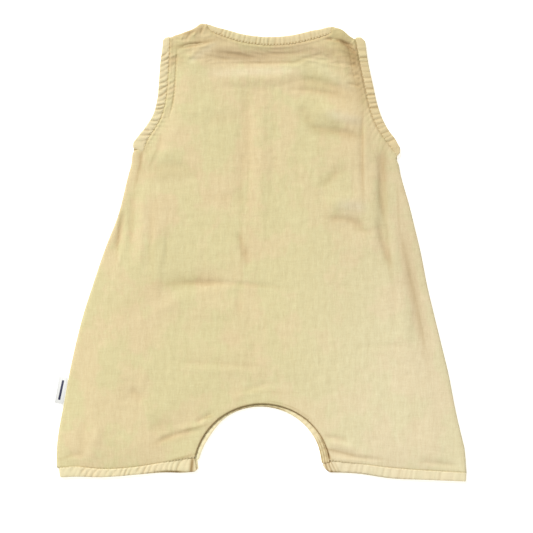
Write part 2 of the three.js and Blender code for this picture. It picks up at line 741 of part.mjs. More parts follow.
// One band round a leg's hem, from the inner leg out on the back, and back in on the front
function hemBand(side, rows, name) {
  const hand = side === "left" ? -1 : 1;
  const inner = rows[0].x;
  const outer = rows.at(-1).x - hand * (hemCornerInset[side] + foldReach - seamGap);
  const levelAt = (column) => {
    const samples = curveThrough(rows, "x", column).getSpacedPoints(fineSamples);
    return (x) => samples.reduce((best, p) => (Math.abs(p.x - x) < Math.abs(best.x - x) ? p : best)).y;
  };
  const stitchAt = levelAt("stitch");
  const stations = (from, count, column, onBack, gatherCount) => {
    const lowerAt = levelAt(column);
    const xAt = (share) => from + (outer - from) * share;
    const edge = spread(count, (share) => new THREE.Vector3(xAt(share), stitchAt(xAt(share)), 0));
    const widthAt = (share) => stitchAt(xAt(share)) - lowerAt(xAt(share)) - seamGap;
    return tapeStations(edge, { hand, onBack, widthAt, gatherCount });
  };
  const back = stations(inner, gathers.hem * stationsPerGather, "back", true, gathers.hem);
  const frontInner = inner - hand * frontHemReach[side];
  const front = stations(frontInner, frontStretches.hem, "front", false, 0).reverse();
  const cornerTurn = foldOver(back.at(-1), new THREE.Vector3(hand, 0, 0));
  return cloth(name, sweep([...back, ...cornerTurn, ...front], tapeSection));
}

// A strip along a crotch ellipse. Inset is how far its inner edge lies outside the ellipse.
function crotchStrip(name, arch, { width, inset, level, thickness, section }) {
  const stations = spread(stripCells, (share) => {
    const kept = stripEndRoom + (1 - 2 * stripEndRoom) * share;
    const middle = archPoint(arch, kept, inset + width / 2).setZ(level + thickness / 2);
    const outward = archPoint(arch, kept, inset).sub(middle).setZ(0).normalize();
    const up = new THREE.Vector3(0, 0, 1);
    return { middle, outward, up, halfWidth: width / 2, halfThickness: thickness / 2 };
  });
  return cloth(name, sweep(stations, section));
}

// The label: a tongue out of the side seam that droops to the surface
function sideLabel() {
  const seam = sideCurve("left");
  const samples = seam.getSpacedPoints(fineSamples);
  const root = samples.reduce((best, p) =>
    Math.abs(p.y - label.seamY) < Math.abs(best.y - label.seamY) ? p : best,
  );
  const next = samples[samples.indexOf(root) + 1];
  const along = next.clone().sub(root).normalize();
  const away = new THREE.Vector3(along.y, -along.x, 0);
  const droop = (share) => label.rootZ + (label.tipZ - label.rootZ) * smoothStep(share);
  const stations = spread(label.cells, (share) => {
    const out = 2 * seamGap + share * label.width;
    const middle = root.clone().addScaledVector(away, out).setZ(droop(share));
    const [before, after] = [share - 1 / label.cells, share + 1 / label.cells];
    const slope = (droop(after) - droop(before)) / ((2 / label.cells) * label.width);
    const up = new THREE.Vector3(0, 0, 1).addScaledVector(away, -slope).normalize();
    return { middle, outward: along, up, halfWidth: label.length / 2, halfThickness: label.thickness / 2 };
  });
  return cloth("side_label", sweep(stations, flatSection), labelColour);
}

const romper = new THREE.Group();
romper.add(
  backPanel(),
  frontPanel(),
  frontPlacket(),
  ...buttons(),
  neckBinding(),
  armholeBinding("left", "armhole_binding_left"),
  armholeBinding("right", "armhole_binding_right"),
  hemBand("left", leftHemRows, "hem_band_left"),
  hemBand("right", rightHemRows, "hem_band_right"),
  crotchStrip("crotch_band_front", frontArch, {
    width: crotchBandWidth,
    inset: 0,
    level: 0,
    thickness: tapeThickness,
    section: tapeSection,
  }),
  crotchStrip("crotch_facing_back", backArch, {
    width: facingWidth,
    inset: -facingShows,
    level: facingBottom,
    thickness: facingThickness,
    section: flatSection,
  }),
  sideLabel(),
);

// Stand the romper on the origin, under the middle of its box
const box = new THREE.Box3().setFromObject(romper);
const middle = box.getCenter(new THREE.Vector3());
romper.position.set(-middle.x, -middle.y, -box.min.z);

export default romper;
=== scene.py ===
# Sleeveless baby romper in double gauze, laid flat with its back up.
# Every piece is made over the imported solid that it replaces, in metres. Tables are in millimetres.
import math
import random

import bmesh
import bpy
import numpy as np
from mathutils import Matrix, Vector, kdtree, noise
from mathutils.bvhtree import BVHTree


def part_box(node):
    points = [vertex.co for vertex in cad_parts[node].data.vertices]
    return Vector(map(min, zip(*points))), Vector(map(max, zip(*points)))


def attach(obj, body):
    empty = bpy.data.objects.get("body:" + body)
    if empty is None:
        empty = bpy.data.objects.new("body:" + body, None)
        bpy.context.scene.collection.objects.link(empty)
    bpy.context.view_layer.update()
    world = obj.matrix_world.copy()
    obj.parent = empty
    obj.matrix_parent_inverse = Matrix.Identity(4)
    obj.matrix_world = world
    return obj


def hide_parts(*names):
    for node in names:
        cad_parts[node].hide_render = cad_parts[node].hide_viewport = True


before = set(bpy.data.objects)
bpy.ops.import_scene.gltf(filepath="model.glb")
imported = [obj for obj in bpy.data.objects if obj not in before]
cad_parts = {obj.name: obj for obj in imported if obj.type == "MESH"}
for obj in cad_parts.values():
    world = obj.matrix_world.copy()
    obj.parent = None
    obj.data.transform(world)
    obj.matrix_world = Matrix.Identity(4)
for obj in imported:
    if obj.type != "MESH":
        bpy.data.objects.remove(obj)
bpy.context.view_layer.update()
mm = 0.001
random.seed(7)


# Small helpers for meshes

def mergedCopy(nodeName):
    bm = bmesh.new()
    bm.from_mesh(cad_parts[nodeName].data)
    bmesh.ops.remove_doubles(bm, verts=bm.verts, dist=2e-6)
    bm.normal_update()
    return bm


def objectFrom(bm, name, smooth=True):
    mesh = bpy.data.meshes.new(name)
    bm.to_mesh(mesh)
    bm.free()
    for polygon in mesh.polygons:
        polygon.use_smooth = smooth
    obj = bpy.data.objects.new(name, mesh)
    bpy.context.scene.collection.objects.link(obj)
    return obj


def applyModifiers(obj):
    graph = bpy.context.evaluated_depsgraph_get()
    graph.update()
    made = bpy.data.meshes.new_from_object(obj.evaluated_get(graph))
    old = obj.data
    obj.modifiers.clear()
    obj.data = made
    bpy.data.meshes.remove(old)
    return obj


def softened(obj, levels):
    rounding = obj.modifiers.new("rounding", "SUBSURF")
    rounding.levels = rounding.render_levels = levels
    rounding.boundary_smooth = "PRESERVE_CORNERS"
    return applyModifiers(obj)


def bmeshOf(obj):
    bm = bmesh.new()
    bm.from_mesh(obj.data)
    bpy.data.objects.remove(obj)
    return bm


def putOn(obj, material, slotName, *nodeNames):
    obj.data.materials.clear()
    obj.data.materials.append(material)
    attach(obj, "root")
    if nodeNames:
        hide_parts(*nodeNames)
    return obj


def setAttribute(obj, name, values):
    layer = obj.data.attributes.new(name, "FLOAT", "POINT")
    layer.data.foreach_set("value", np.asarray(values, dtype=np.float32))


def smoothStep(low, high, value):
    t = np.clip((value - low) / (high - low), 0, 1)
    return t * t * (3 - 2 * t)


# A search tree of places, in plan
def planTree(places):
    tree = kdtree.KDTree(len(places))
    for i, place in enumerate(places):
        tree.insert((place.x, place.y, 0), i)
    tree.balance()
    return tree


# Noise that is stretched along x and y, from -1 to 1
def crinkleNoise(xs, ys, alongX, alongY, layer):
    return np.array([noise.noise((x / alongX, y / alongY, layer)) for x, y in zip(xs, ys)])


# Edges of a sheet, and what is sewn to them

tapeNodes = {
    "neck": "neck_binding",
    "armLeft": "armhole_binding_left",
    "armRight": "armhole_binding_right",
    "hemLeft": "hem_band_left",
    "hemRight": "hem_band_right",
}
tapeTrees = {}
for edgeKind, nodeName in tapeNodes.items():
    tapeTrees[edgeKind] = BVHTree.FromBMesh(mergedCopy(nodeName))


def kindOfEdge(point):
    best, reach = "side", 1.6 * mm
    for kind, tree in tapeTrees.items():
        found = tree.find_nearest(point, reach)
        if found[0] is not None and found[3] < reach:
            best, reach = kind, found[3]
    if best == "side" and abs(point.x) < 70 * mm and point.y < -120 * mm:
        best = "arch"
    return best


# The sheet's outline as one loop of points, with the distance run and the kind of edge at each
def outlineOf(bm):
    edges = {e for e in bm.edges if e.is_boundary}
    start = max((v for e in edges for v in e.verts), key=lambda v: v.co.y - abs(v.co.x))
    loop, vert = [start], start
    while True:
        edge = next((e for e in vert.link_edges if e in edges), None)
        if edge is None:
            break
        edges.discard(edge)
        vert = edge.other_vert(vert)
        loop.append(vert)
    points = [v.co.copy() for v in loop]
    kinds = [kindOfEdge(p) for p in points]
    runs, total = [0.0], 0.0
    for a, b in zip(points, points[1:]):
        total += (b - a).length
        runs.append(total)
    return points, runs, kinds


# For each vertex: its distance from the outline, the run there and the kind of edge
def edgeFields(points, outline):
    loop, runs, kinds = outline
    samples = []
    for i in range(len(loop) - 1):
        steps = max(1, int((loop[i + 1] - loop[i]).length / (0.6 * mm)))
        for k in range(steps):
            share = k / steps
            place = loop[i].lerp(loop[i + 1], share)
            samples.append((place, runs[i] + (runs[i + 1] - runs[i]) * share, kinds[i]))
    tree = planTree([sample[0] for sample in samples])
    found = [tree.find((p[0], p[1], 0)) for p in points]
    away = np.array([f[2] for f in found])
    run = np.array([samples[f[1]][1] for f in found])
    kind = np.array([samples[f[1]][2] for f in found])
    return away, run, kind


# The longest stretch of an outline that is one kind of edge, as points in order
def stretchOf(outline, kind):
    loop, kinds = outline[0][:-1], outline[2][:-1]
    start = next(i for i in range(len(loop)) if kinds[i] != kind)
    best, current = [], []
    for point, pointKind in zip(loop[start:] + loop[:start], kinds[start:] + kinds[:start]):
        current = [*current, point] if pointKind == kind else []
        best = current if len(current) > len(best) else best
    return best


# Gathers with sharp valleys, from 0 to 1, with uneven pitch
def gatherWave(run, pitch, slant, layer, power=0.85):
    wobble = np.array([noise.noise((r / (pitch * 2.3), layer, 0)) for r in run])
    phase = run / pitch + slant + 0.55 * wobble
    return np.abs(np.sin(np.pi * phase)) ** power


# The creases of the back. Height below 0 is a trough. Turn is in degrees from +X, and bend is how far
# the middle of the crease lies off its ends' line.
creaseTable = [
    {"x": -6, "y": 183, "length": 120, "width": 7.0, "height": -0.6, "turn": 0, "bend": -3},
    {"x": -2, "y": 165, "length": 92, "width": 6.0, "height": 0.8, "turn": 2, "bend": -6},
    {"x": -54, "y": 184, "length": 40, "width": 2.8, "height": 0.7, "turn": 34, "bend": 4},
    {"x": -60, "y": 191.6, "length": 42, "width": 1.6, "height": -0.9, "turn": 9, "bend": -0.8},
    {"x": -63, "y": 202, "length": 24, "width": 1.3, "height": -0.6, "turn": 12, "bend": 0.5},
    {"x": -72, "y": 198, "length": 10, "width": 1.3, "height": 0.6, "turn": 65, "bend": 0},
    {"x": -66, "y": 199, "length": 10, "width": 1.2, "height": -0.6, "turn": 60, "bend": 0},
    {"x": -60, "y": 201.5, "length": 10, "width": 1.4, "height": 0.6, "turn": 55, "bend": 0},
    {"x": -54, "y": 203, "length": 9, "width": 1.2, "height": -0.5, "turn": 65, "bend": 0},
    {"x": -48, "y": 199, "length": 16, "width": 1.6, "height": 0.5, "turn": 18, "bend": 0},
    {"x": -78, "y": 178, "length": 12, "width": 1.6, "height": -0.6, "turn": 25, "bend": 0},
    {"x": -40, "y": 178, "length": 30, "width": 1.6, "height": -0.4, "turn": -10, "bend": 1},
    {"x": -22, "y": 181, "length": 44, "width": 1.8, "height": -0.5, "turn": -9, "bend": 1},
    {"x": 22, "y": 184, "length": 60, "width": 1.8, "height": -0.4, "turn": 3, "bend": -1},
    {"x": 44, "y": 178, "length": 34, "width": 1.8, "height": -0.4, "turn": 16, "bend": 1},
    {"x": 9, "y": 175, "length": 70, "width": 1.6, "height": -0.4, "turn": 1, "bend": -1},
    {"x": 67, "y": 195, "length": 22, "width": 1.3, "height": -1.2, "turn": -10, "bend": 0.5},
    {"x": 80, "y": 188.3, "length": 26, "width": 1.3, "height": -1.3, "turn": -41, "bend": 1},
    {"x": 80, "y": 191.6, "length": 16, "width": 1.2, "height": -0.9, "turn": -22, "bend": 0},
    {"x": 76, "y": 186, "length": 20, "width": 2.2, "height": 0.6, "turn": -38, "bend": 0},
    {"x": 56, "y": 184, "length": 22, "width": 2.0, "height": 0.5, "turn": -28, "bend": 1},
    {"x": 76, "y": 176, "length": 26, "width": 3.0, "height": 0.7, "turn": -52, "bend": 0},
    {"x": 84, "y": 172, "length": 14, "width": 1.5, "height": -0.5, "turn": 4, "bend": 0},
    {"x": 86, "y": 163, "length": 14, "width": 1.5, "height": -0.4, "turn": -6, "bend": 0},
    {"x": 86, "y": 154, "length": 16, "width": 1.5, "height": -0.5, "turn": -12, "bend": 0},
    {"x": 60, "y": 152, "length": 74, "width": 4.5, "height": -0.8, "turn": -14, "bend": 3},
    {"x": 52, "y": 146, "length": 54, "width": 3.0, "height": -0.5, "turn": -8, "bend": 2},
    {"x": 70, "y": 125, "length": 54, "width": 6.0, "height": 1.0, "turn": -13, "bend": 4},
    {"x": 68, "y": 110, "length": 56, "width": 3.2, "height": -1.3, "turn": -10, "bend": 2},
    {"x": 42, "y": 127, "length": 22, "width": 5.0, "height": -0.8, "turn": -55, "bend": 0},
    {"x": 94, "y": 92, "length": 88, "width": 2.2, "height": -1.2, "turn": 90, "bend": 1},
    {"x": 98, "y": 96, "length": 74, "width": 3.0, "height": 0.6, "turn": 90, "bend": 1},
    {"x": 113, "y": 62, "length": 80, "width": 3.4, "height": -2.0, "turn": 92, "bend": 2},
    {"x": 115, "y": 8, "length": 60, "width": 3.2, "height": -1.8, "turn": 105, "bend": 2},
    {"x": 106, "y": 52, "length": 90, "width": 4.0, "height": 0.9, "turn": 91, "bend": 2},
    {"x": 121, "y": 30, "length": 84, "width": 4.0, "height": 0.9, "turn": 98, "bend": 2},
    {"x": 105, "y": 80, "length": 26, "width": 5.0, "height": -0.6, "turn": 70, "bend": 0},
    {"x": 69, "y": 67, "length": 34, "width": 5.0, "height": -0.9, "turn": 40, "bend": 4},
    {"x": 78, "y": 43, "length": 44, "width": 6.0, "height": 1.0, "turn": 8, "bend": 4},
    {"x": 72, "y": 29, "length": 26, "width": 3.6, "height": -0.8, "turn": 4, "bend": 2},
    {"x": 87, "y": 26, "length": 20, "width": 3.4, "height": -1.2, "turn": -32, "bend": 2},
    {"x": 97, "y": 20, "length": 16, "width": 3.0, "height": -1.0, "turn": -24, "bend": 0},
    {"x": -12, "y": 110, "length": 116, "width": 5.0, "height": -0.6, "turn": 91, "bend": 1},
    {"x": -18, "y": 70, "length": 60, "width": 3.0, "height": -0.5, "turn": 88, "bend": 0},
    {"x": 0, "y": 96, "length": 120, "width": 5.0, "height": 0.5, "turn": 90, "bend": 0},
    {"x": 12, "y": 104, "length": 112, "width": 3.0, "height": -0.4, "turn": 90, "bend": 0},
    {"x": -16, "y": 6, "length": 34, "width": 2.6, "height": -1.2, "turn": 108, "bend": 1},
    {"x": -12, "y": -4, "length": 24, "width": 4.0, "height": -0.7, "turn": 96, "bend": 0},
    {"x": -19, "y": -44, "length": 36, "width": 3.0, "height": -0.8, "turn": 92, "bend": 1},
    {"x": -34, "y": -31, "length": 122, "width": 2.2, "height": -1.2, "turn": -2, "bend": 3},
    {"x": -62, "y": -28, "length": 62, "width": 8.0, "height": -0.8, "turn": 3, "bend": 2},
    {"x": -44, "y": -42, "length": 120, "width": 7.0, "height": 0.7, "turn": 14, "bend": 6},
    {"x": -90, "y": -54, "length": 70, "width": 5.0, "height": 0.5, "turn": 30, "bend": 3},
    {"x": -88, "y": 74, "length": 54, "width": 5.0, "height": -0.8, "turn": 6, "bend": 5},
    {"x": -92, "y": 86, "length": 48, "width": 5.0, "height": 0.7, "turn": 12, "bend": 5},
    {"x": -96, "y": 95, "length": 34, "width": 2.6, "height": -0.8, "turn": 76, "bend": -3},
    {"x": -109, "y": 82, "length": 26, "width": 2.2, "height": -1.1, "turn": 80, "bend": 1},
    {"x": -118, "y": 30, "length": 64, "width": 3.0, "height": -1.2, "turn": 88, "bend": 1},
    {"x": -108, "y": 22, "length": 96, "width": 3.6, "height": 1.1, "turn": 87, "bend": 1},
    {"x": -100, "y": 14, "length": 80, "width": 2.8, "height": -0.8, "turn": 88, "bend": 1},
    {"x": -93, "y": -2, "length": 96, "width": 3.6, "height": 0.8, "turn": 88, "bend": 2},
    {"x": -131, "y": 20, "length": 52, "width": 2.4, "height": -1.5, "turn": 78, "bend": -2},
    {"x": -126, "y": 6, "length": 46, "width": 3.0, "height": 0.8, "turn": 76, "bend": -1},
    {"x": -86, "y": 6, "length": 34, "width": 2.4, "height": -0.7, "turn": 90, "bend": 0},
    {"x": -90, "y": 2, "length": 30, "width": 2.4, "height": 0.6, "turn": 88, "bend": 0},
    {"x": 137, "y": -12, "length": 76, "width": 5.0, "height": -0.7, "turn": 102, "bend": 1},
    {"x": 145, "y": -50, "length": 96, "width": 6.0, "height": -0.7, "turn": 101, "bend": 2},
    {"x": 136, "y": -70, "length": 90, "width": 6.0, "height": 0.7, "turn": 96, "bend": 2},
    {"x": 124, "y": -50, "length": 60, "width": 3.4, "height": -0.5, "turn": 92, "bend": 1},
    {"x": 112, "y": -86, "length": 56, "width": 3.0, "height": -0.4, "turn": 2, "bend": 0},
    {"x": -42, "y": -103, "length": 108, "width": 3.0, "height": -0.5, "turn": -3, "bend": 1},
    {"x": -30, "y": -110, "length": 90, "width": 4.0, "height": 0.4, "turn": -4, "bend": 1},
    {"x": -4, "y": -125, "length": 30, "width": 3.0, "height": -0.8, "turn": 16, "bend": 1},
    {"x": -12, "y": -132, "length": 34, "width": 3.0, "height": 0.6, "turn": 14, "bend": 2},
    {"x": -8, "y": -96, "length": 40, "width": 4.0, "height": -0.4, "turn": 78, "bend": 0},
    {"x": -76, "y": -170, "length": 50, "width": 2.4, "height": -1.7, "turn": 16, "bend": 3},
    {"x": -64, "y": -163, "length": 36, "width": 4.0, "height": 0.9, "turn": 22, "bend": 2},
    {"x": -52, "y": -153, "length": 26, "width": 1.8, "height": -1.4, "turn": 32, "bend": 1},
    {"x": -92, "y": -160, "length": 26, "width": 7.0, "height": -0.7, "turn": 18, "bend": 0},
    {"x": -114, "y": -131, "length": 20, "width": 4.6, "height": -1.1, "turn": -30, "bend": 0},
    {"x": -106, "y": -118, "length": 44, "width": 4.0, "height": 0.7, "turn": 76, "bend": 2},
    {"x": -126, "y": -112, "length": 40, "width": 5.0, "height": 0.5, "turn": -40, "bend": 2},
    {"x": -154, "y": -175, "length": 44, "width": 4.0, "height": 1.0, "turn": 80, "bend": -2},
    {"x": -164, "y": -170, "length": 44, "width": 4.0, "height": -0.8, "turn": 84, "bend": -1},
    {"x": -174, "y": -160, "length": 50, "width": 4.0, "height": 0.6, "turn": 86, "bend": 0},
    {"x": -170, "y": -186, "length": 20, "width": 2.4, "height": -0.8, "turn": 0, "bend": 0},
    {"x": 70, "y": -172, "length": 30, "width": 2.6, "height": -0.9, "turn": -14, "bend": 1},
    {"x": 74, "y": -178, "length": 36, "width": 3.0, "height": 0.6, "turn": -12, "bend": 1},
    {"x": 72, "y": -184, "length": 38, "width": 2.2, "height": -1.0, "turn": -10, "bend": 1},
    {"x": 86, "y": -187, "length": 60, "width": 2.2, "height": -0.9, "turn": -8, "bend": -1},
    {"x": 164, "y": -194, "length": 44, "width": 2.6, "height": -0.9, "turn": -7, "bend": 0},
    {"x": 158, "y": -168, "length": 50, "width": 6.0, "height": 0.6, "turn": 98, "bend": 1},
    {"x": 142, "y": -150, "length": 60, "width": 5.0, "height": -0.5, "turn": 98, "bend": 1},
    {"x": 106, "y": -150, "length": 60, "width": 7.0, "height": 0.4, "turn": 84, "bend": 2},
    {"x": -30, "y": 48, "length": 70, "width": 6.0, "height": -0.4, "turn": -4, "bend": 2},
    {"x": 34, "y": 80, "length": 70, "width": 5.0, "height": -0.35, "turn": 86, "bend": 1},
    {"x": -52, "y": 130, "length": 50, "width": 6.0, "height": 0.4, "turn": 20, "bend": 3},
    {"x": -34, "y": 120, "length": 40, "width": 6.0, "height": -0.5, "turn": 8, "bend": 2},
]


def creaseHeight(xs, ys, table):
    total = np.zeros_like(xs)
    for row in table:
        deeper = 1.3 if row["y"] > 140 else 0.7
        turn = math.radians(row["turn"])
        across = xs - row["x"] * mm, ys - row["y"] * mm
        u = across[0] * math.cos(turn) + across[1] * math.sin(turn)
        v = across[1] * math.cos(turn) - across[0] * math.sin(turn)
        half = row["length"] * mm / 2
        v = v - row["bend"] * mm * (1 - (u / half) ** 2)
        reach = smoothStep(1, 0.35, np.abs(u) / half)
        total += row["height"] * deeper * mm * reach * np.exp(-((v / (row["width"] * mm)) ** 2))
    return total


# Soft marks on the back: painted shade along its troughs and in the band under the neck, painted highlights
# along some ridges, and the front neckline's tape showing through. Where, half length and half width, turn
# from +X, how much lighter (below 0 is painted shade), how much paler and greyer
toneMarks = [
    {"x": 7, "y": 182, "long": 58, "wide": 8, "turn": 3, "tone": -0.15, "pale": 0.28},
    {"x": -21, "y": 181.5, "long": 24, "wide": 4.4, "turn": -8, "tone": -0.09, "pale": 0.16},
    {"x": 51, "y": 186, "long": 20, "wide": 4.5, "turn": -12, "tone": -0.09, "pale": 0.16},
    {"x": 9, "y": 174.8, "long": 36, "wide": 1.4, "turn": 1, "tone": -0.05, "pale": 0},
    {"x": -59, "y": 192, "long": 24, "wide": 2.6, "turn": 10, "tone": -0.16, "pale": 0},
    {"x": -63, "y": 202, "long": 13, "wide": 1.6, "turn": 12, "tone": -0.1, "pale": 0},
    {"x": -78, "y": 176, "long": 9, "wide": 4, "turn": 10, "tone": -0.1, "pale": 0},
    {"x": -52, "y": 185, "long": 18, "wide": 3, "turn": 36, "tone": 0.04, "pale": 0.15},
    {"x": 80, "y": 186, "long": 17, "wide": 6, "turn": -48, "tone": -0.16, "pale": 0},
    {"x": 89, "y": 167, "long": 22, "wide": 6, "turn": -75, "tone": -0.14, "pale": 0},
    {"x": 72, "y": 181, "long": 13, "wide": 5, "turn": -20, "tone": -0.07, "pale": 0},
    {"x": 93, "y": 144, "long": 14, "wide": 4, "turn": -70, "tone": -0.07, "pale": 0},
    {"x": -5, "y": 166, "long": 42, "wide": 4.4, "turn": 2, "tone": -0.01, "pale": 0.3},
    {"x": 66, "y": 162, "long": 25, "wide": 5.6, "turn": -38, "tone": 0.05, "pale": 0.1},
    {"x": 64, "y": 147, "long": 32, "wide": 4.6, "turn": -13, "tone": -0.06, "pale": 0},
    {"x": 77, "y": 124, "long": 17, "wide": 5, "turn": -14, "tone": 0.02, "pale": 0.3},
    {"x": 48, "y": 116, "long": 14, "wide": 4, "turn": -42, "tone": -0.06, "pale": 0},
    {"x": 74, "y": 108.5, "long": 22, "wide": 4, "turn": -7, "tone": -0.07, "pale": 0},
    {"x": 94, "y": 85, "long": 42, "wide": 1.2, "turn": 90, "tone": -0.11, "pale": 0},
    {"x": 114.5, "y": 66, "long": 36, "wide": 2.6, "turn": 92, "tone": -0.12, "pale": 0},
    {"x": 116, "y": 16, "long": 36, "wide": 2, "turn": 99, "tone": -0.1, "pale": 0},
    {"x": 62, "y": 66.5, "long": 13, "wide": 3, "turn": 35, "tone": -0.04, "pale": 0},
    {"x": 84, "y": 43, "long": 13, "wide": 5.5, "turn": -6, "tone": 0.01, "pale": 0.3},
    {"x": 77, "y": 30.5, "long": 18, "wide": 2.8, "turn": -10, "tone": -0.06, "pale": 0},
    {"x": 90, "y": 22, "long": 8, "wide": 2.6, "turn": -20, "tone": -0.07, "pale": 0},
    {"x": -81, "y": 72, "long": 28, "wide": 5.5, "turn": 8, "tone": -0.05, "pale": 0},
    {"x": -106, "y": 84, "long": 16, "wide": 2.2, "turn": 76, "tone": -0.04, "pale": 0},
    {"x": -111, "y": 79, "long": 18, "wide": 1.1, "turn": 77, "tone": -0.17, "pale": 0},
    {"x": -98.5, "y": 87, "long": 9, "wide": 1, "turn": 68, "tone": -0.11, "pale": 0},
    {"x": -130.5, "y": 17, "long": 20, "wide": 1.1, "turn": 86, "tone": -0.16, "pale": 0},
    {"x": -117, "y": 34, "long": 36, "wide": 1.6, "turn": 86, "tone": -0.05, "pale": 0},
    {"x": -98, "y": 6, "long": 40, "wide": 1.8, "turn": 88, "tone": -0.05, "pale": 0},
    {"x": -105, "y": 10, "long": 44, "wide": 2.4, "turn": 88, "tone": 0.03, "pale": 0},
    {"x": 126.5, "y": 42, "long": 20, "wide": 1, "turn": 93, "tone": -0.1, "pale": 0},
    {"x": -18, "y": 10, "long": 60, "wide": 1.2, "turn": 90, "tone": -0.04, "pale": 0},
    {"x": -16, "y": 94, "long": 60, "wide": 1.1, "turn": 90, "tone": -0.025, "pale": 0},
    {"x": -15.5, "y": 3, "long": 16, "wide": 2.2, "turn": 100, "tone": -0.06, "pale": 0},
    {"x": -64, "y": -27, "long": 32, "wide": 5, "turn": 3, "tone": -0.05, "pale": 0},
    {"x": -34, "y": -30.5, "long": 62, "wide": 1, "turn": -2, "tone": -0.05, "pale": 0},
    {"x": -115, "y": -44, "long": 28, "wide": 8, "turn": 30, "tone": -0.03, "pale": 0},
    {"x": 117, "y": -9, "long": 20, "wide": 2.4, "turn": 100, "tone": -0.05, "pale": 0},
    {"x": 141, "y": -36, "long": 60, "wide": 6.5, "turn": 101, "tone": -0.07, "pale": 0},
    {"x": 136, "y": -20, "long": 40, "wide": 1.2, "turn": 101, "tone": -0.06, "pale": 0},
    {"x": 144, "y": -50, "long": 44, "wide": 1.2, "turn": 101, "tone": -0.06, "pale": 0},
    {"x": 150, "y": -84, "long": 40, "wide": 1.4, "turn": 101, "tone": -0.04, "pale": 0},
    {"x": 0, "y": -122, "long": 26, "wide": 2, "turn": -4, "tone": 0.04, "pale": 0},
    {"x": 0, "y": -128, "long": 26, "wide": 1.2, "turn": -2, "tone": -0.05, "pale": 0},
    {"x": -84, "y": -172, "long": 22, "wide": 4, "turn": 16, "tone": -0.06, "pale": 0},
    {"x": -62, "y": -161.5, "long": 13, "wide": 1, "turn": 14, "tone": -0.16, "pale": 0},
    {"x": -48, "y": -151.5, "long": 5, "wide": 0.9, "turn": 14, "tone": -0.14, "pale": 0},
    {"x": 58.5, "y": -178, "long": 9, "wide": 0.8, "turn": -76, "tone": -0.28, "pale": 0},
    {"x": 60.5, "y": -183, "long": 9, "wide": 0.8, "turn": -70, "tone": -0.26, "pale": 0},
    {"x": 63, "y": -186, "long": 7, "wide": 0.8, "turn": -62, "tone": -0.18, "pale": 0},
    {"x": -74, "y": -189, "long": 14, "wide": 1.2, "turn": 16, "tone": -0.16, "pale": 0},
    {"x": -178, "y": -188, "long": 9, "wide": 1.2, "turn": 16, "tone": -0.08, "pale": 0},
    {"x": 71, "y": -183, "long": 20, "wide": 1.1, "turn": -14, "tone": -0.12, "pale": 0},
    {"x": 108, "y": -189, "long": 22, "wide": 1.1, "turn": -9, "tone": -0.05, "pale": 0},
]

# Where the cloth is painted peachier, above 0, or greener, below 0. The three streaks down the right side
# lie along its troughs and warm their painted shade.
blushMarks = [
    {"x": -42, "y": 151, "long": 40, "wide": 12, "turn": 0, "blush": 0.5},
    {"x": -5, "y": 80, "long": 76, "wide": 9, "turn": 90, "blush": 0.5},
    {"x": -33, "y": 128, "long": 22, "wide": 9, "turn": 15, "blush": 0.4},
    {"x": -79, "y": 103, "long": 34, "wide": 7, "turn": 22, "blush": 0.4},
    {"x": -81, "y": 67, "long": 28, "wide": 12, "turn": 5, "blush": 0.5},
    {"x": -94, "y": 34, "long": 24, "wide": 21, "turn": 80, "blush": 0.4},
    {"x": -40, "y": 44, "long": 22, "wide": 16, "turn": 0, "blush": 0.4},
    {"x": 59, "y": 145, "long": 32, "wide": 8, "turn": -12, "blush": 0.5},
    {"x": 82, "y": 114, "long": 18, "wide": 12, "turn": 90, "blush": 0.4},
    {"x": -62, "y": 129, "long": 20, "wide": 14, "turn": 20, "blush": -0.5},
    {"x": 46, "y": 48, "long": 50, "wide": 36, "turn": 90, "blush": -0.35},
    {"x": 56, "y": 164, "long": 34, "wide": 8, "turn": -20, "blush": -0.5},
    {"x": -54, "y": -4, "long": 40, "wide": 18, "turn": 4, "blush": -0.7},
    {"x": -50, "y": -90, "long": 48, "wide": 42, "turn": 0, "blush": -0.6},
    {"x": -122, "y": -56, "long": 30, "wide": 26, "turn": 60, "blush": 0.5},
    {"x": -27, "y": -80, "long": 9, "wide": 8, "turn": 0, "blush": 0.8},
    {"x": 1, "y": -80, "long": 24, "wide": 7, "turn": 90, "blush": 0.8},
    {"x": -83, "y": -170, "long": 22, "wide": 8, "turn": 15, "blush": 0.5},
    {"x": -170, "y": -180, "long": 20, "wide": 14, "turn": 0, "blush": 0.4},
    {"x": 60, "y": -90, "long": 60, "wide": 40, "turn": 70, "blush": -0.3},
    {"x": 80, "y": 178, "long": 26, "wide": 16, "turn": -50, "blush": 0.3},
    {"x": 136, "y": -26, "long": 54, "wide": 3, "turn": 101, "blush": 1.1},
    {"x": 145, "y": -46, "long": 60, "wide": 3.6, "turn": 101, "blush": 1.2},
    {"x": 155, "y": -90, "long": 60, "wide": 3, "turn": 101, "blush": 0.5},
]


def markSum(xs, ys, table, column):
    total = np.zeros(len(xs))
    for row in table:
        if row[column] == 0:
            continue
        turn = math.radians(row["turn"])
        u = (xs - row["x"]) * math.cos(turn) + (ys - row["y"]) * math.sin(turn)
        v = (ys - row["y"]) * math.cos(turn) - (xs - row["x"]) * math.sin(turn)
        total += row[column] * np.exp(-((u / row["long"]) ** 4) - (v / row["wide"]) ** 2)
    return total


# Back panel

backCloth = {
    "thickness": 0.8,
    "gatherPitch": 5.2,
    "seamPucker": 0.2,
    "streaks": 0.2,
    "crinkle": 0.16,
    "crumple": 0.45,
    "edgeDrop": 0.75,
    "lip": 0.35,
    "tuckUnder": 0.7,
    "fineAbove": 146,
    "fineEdge": 9,
}

# Corners where a tape ends at the side seam, and the panel lies calm round them
calmSpots = [{"x": -108, "y": 95, "reach": 8}, {"x": 127, "y": 90, "reach": 4.5}]


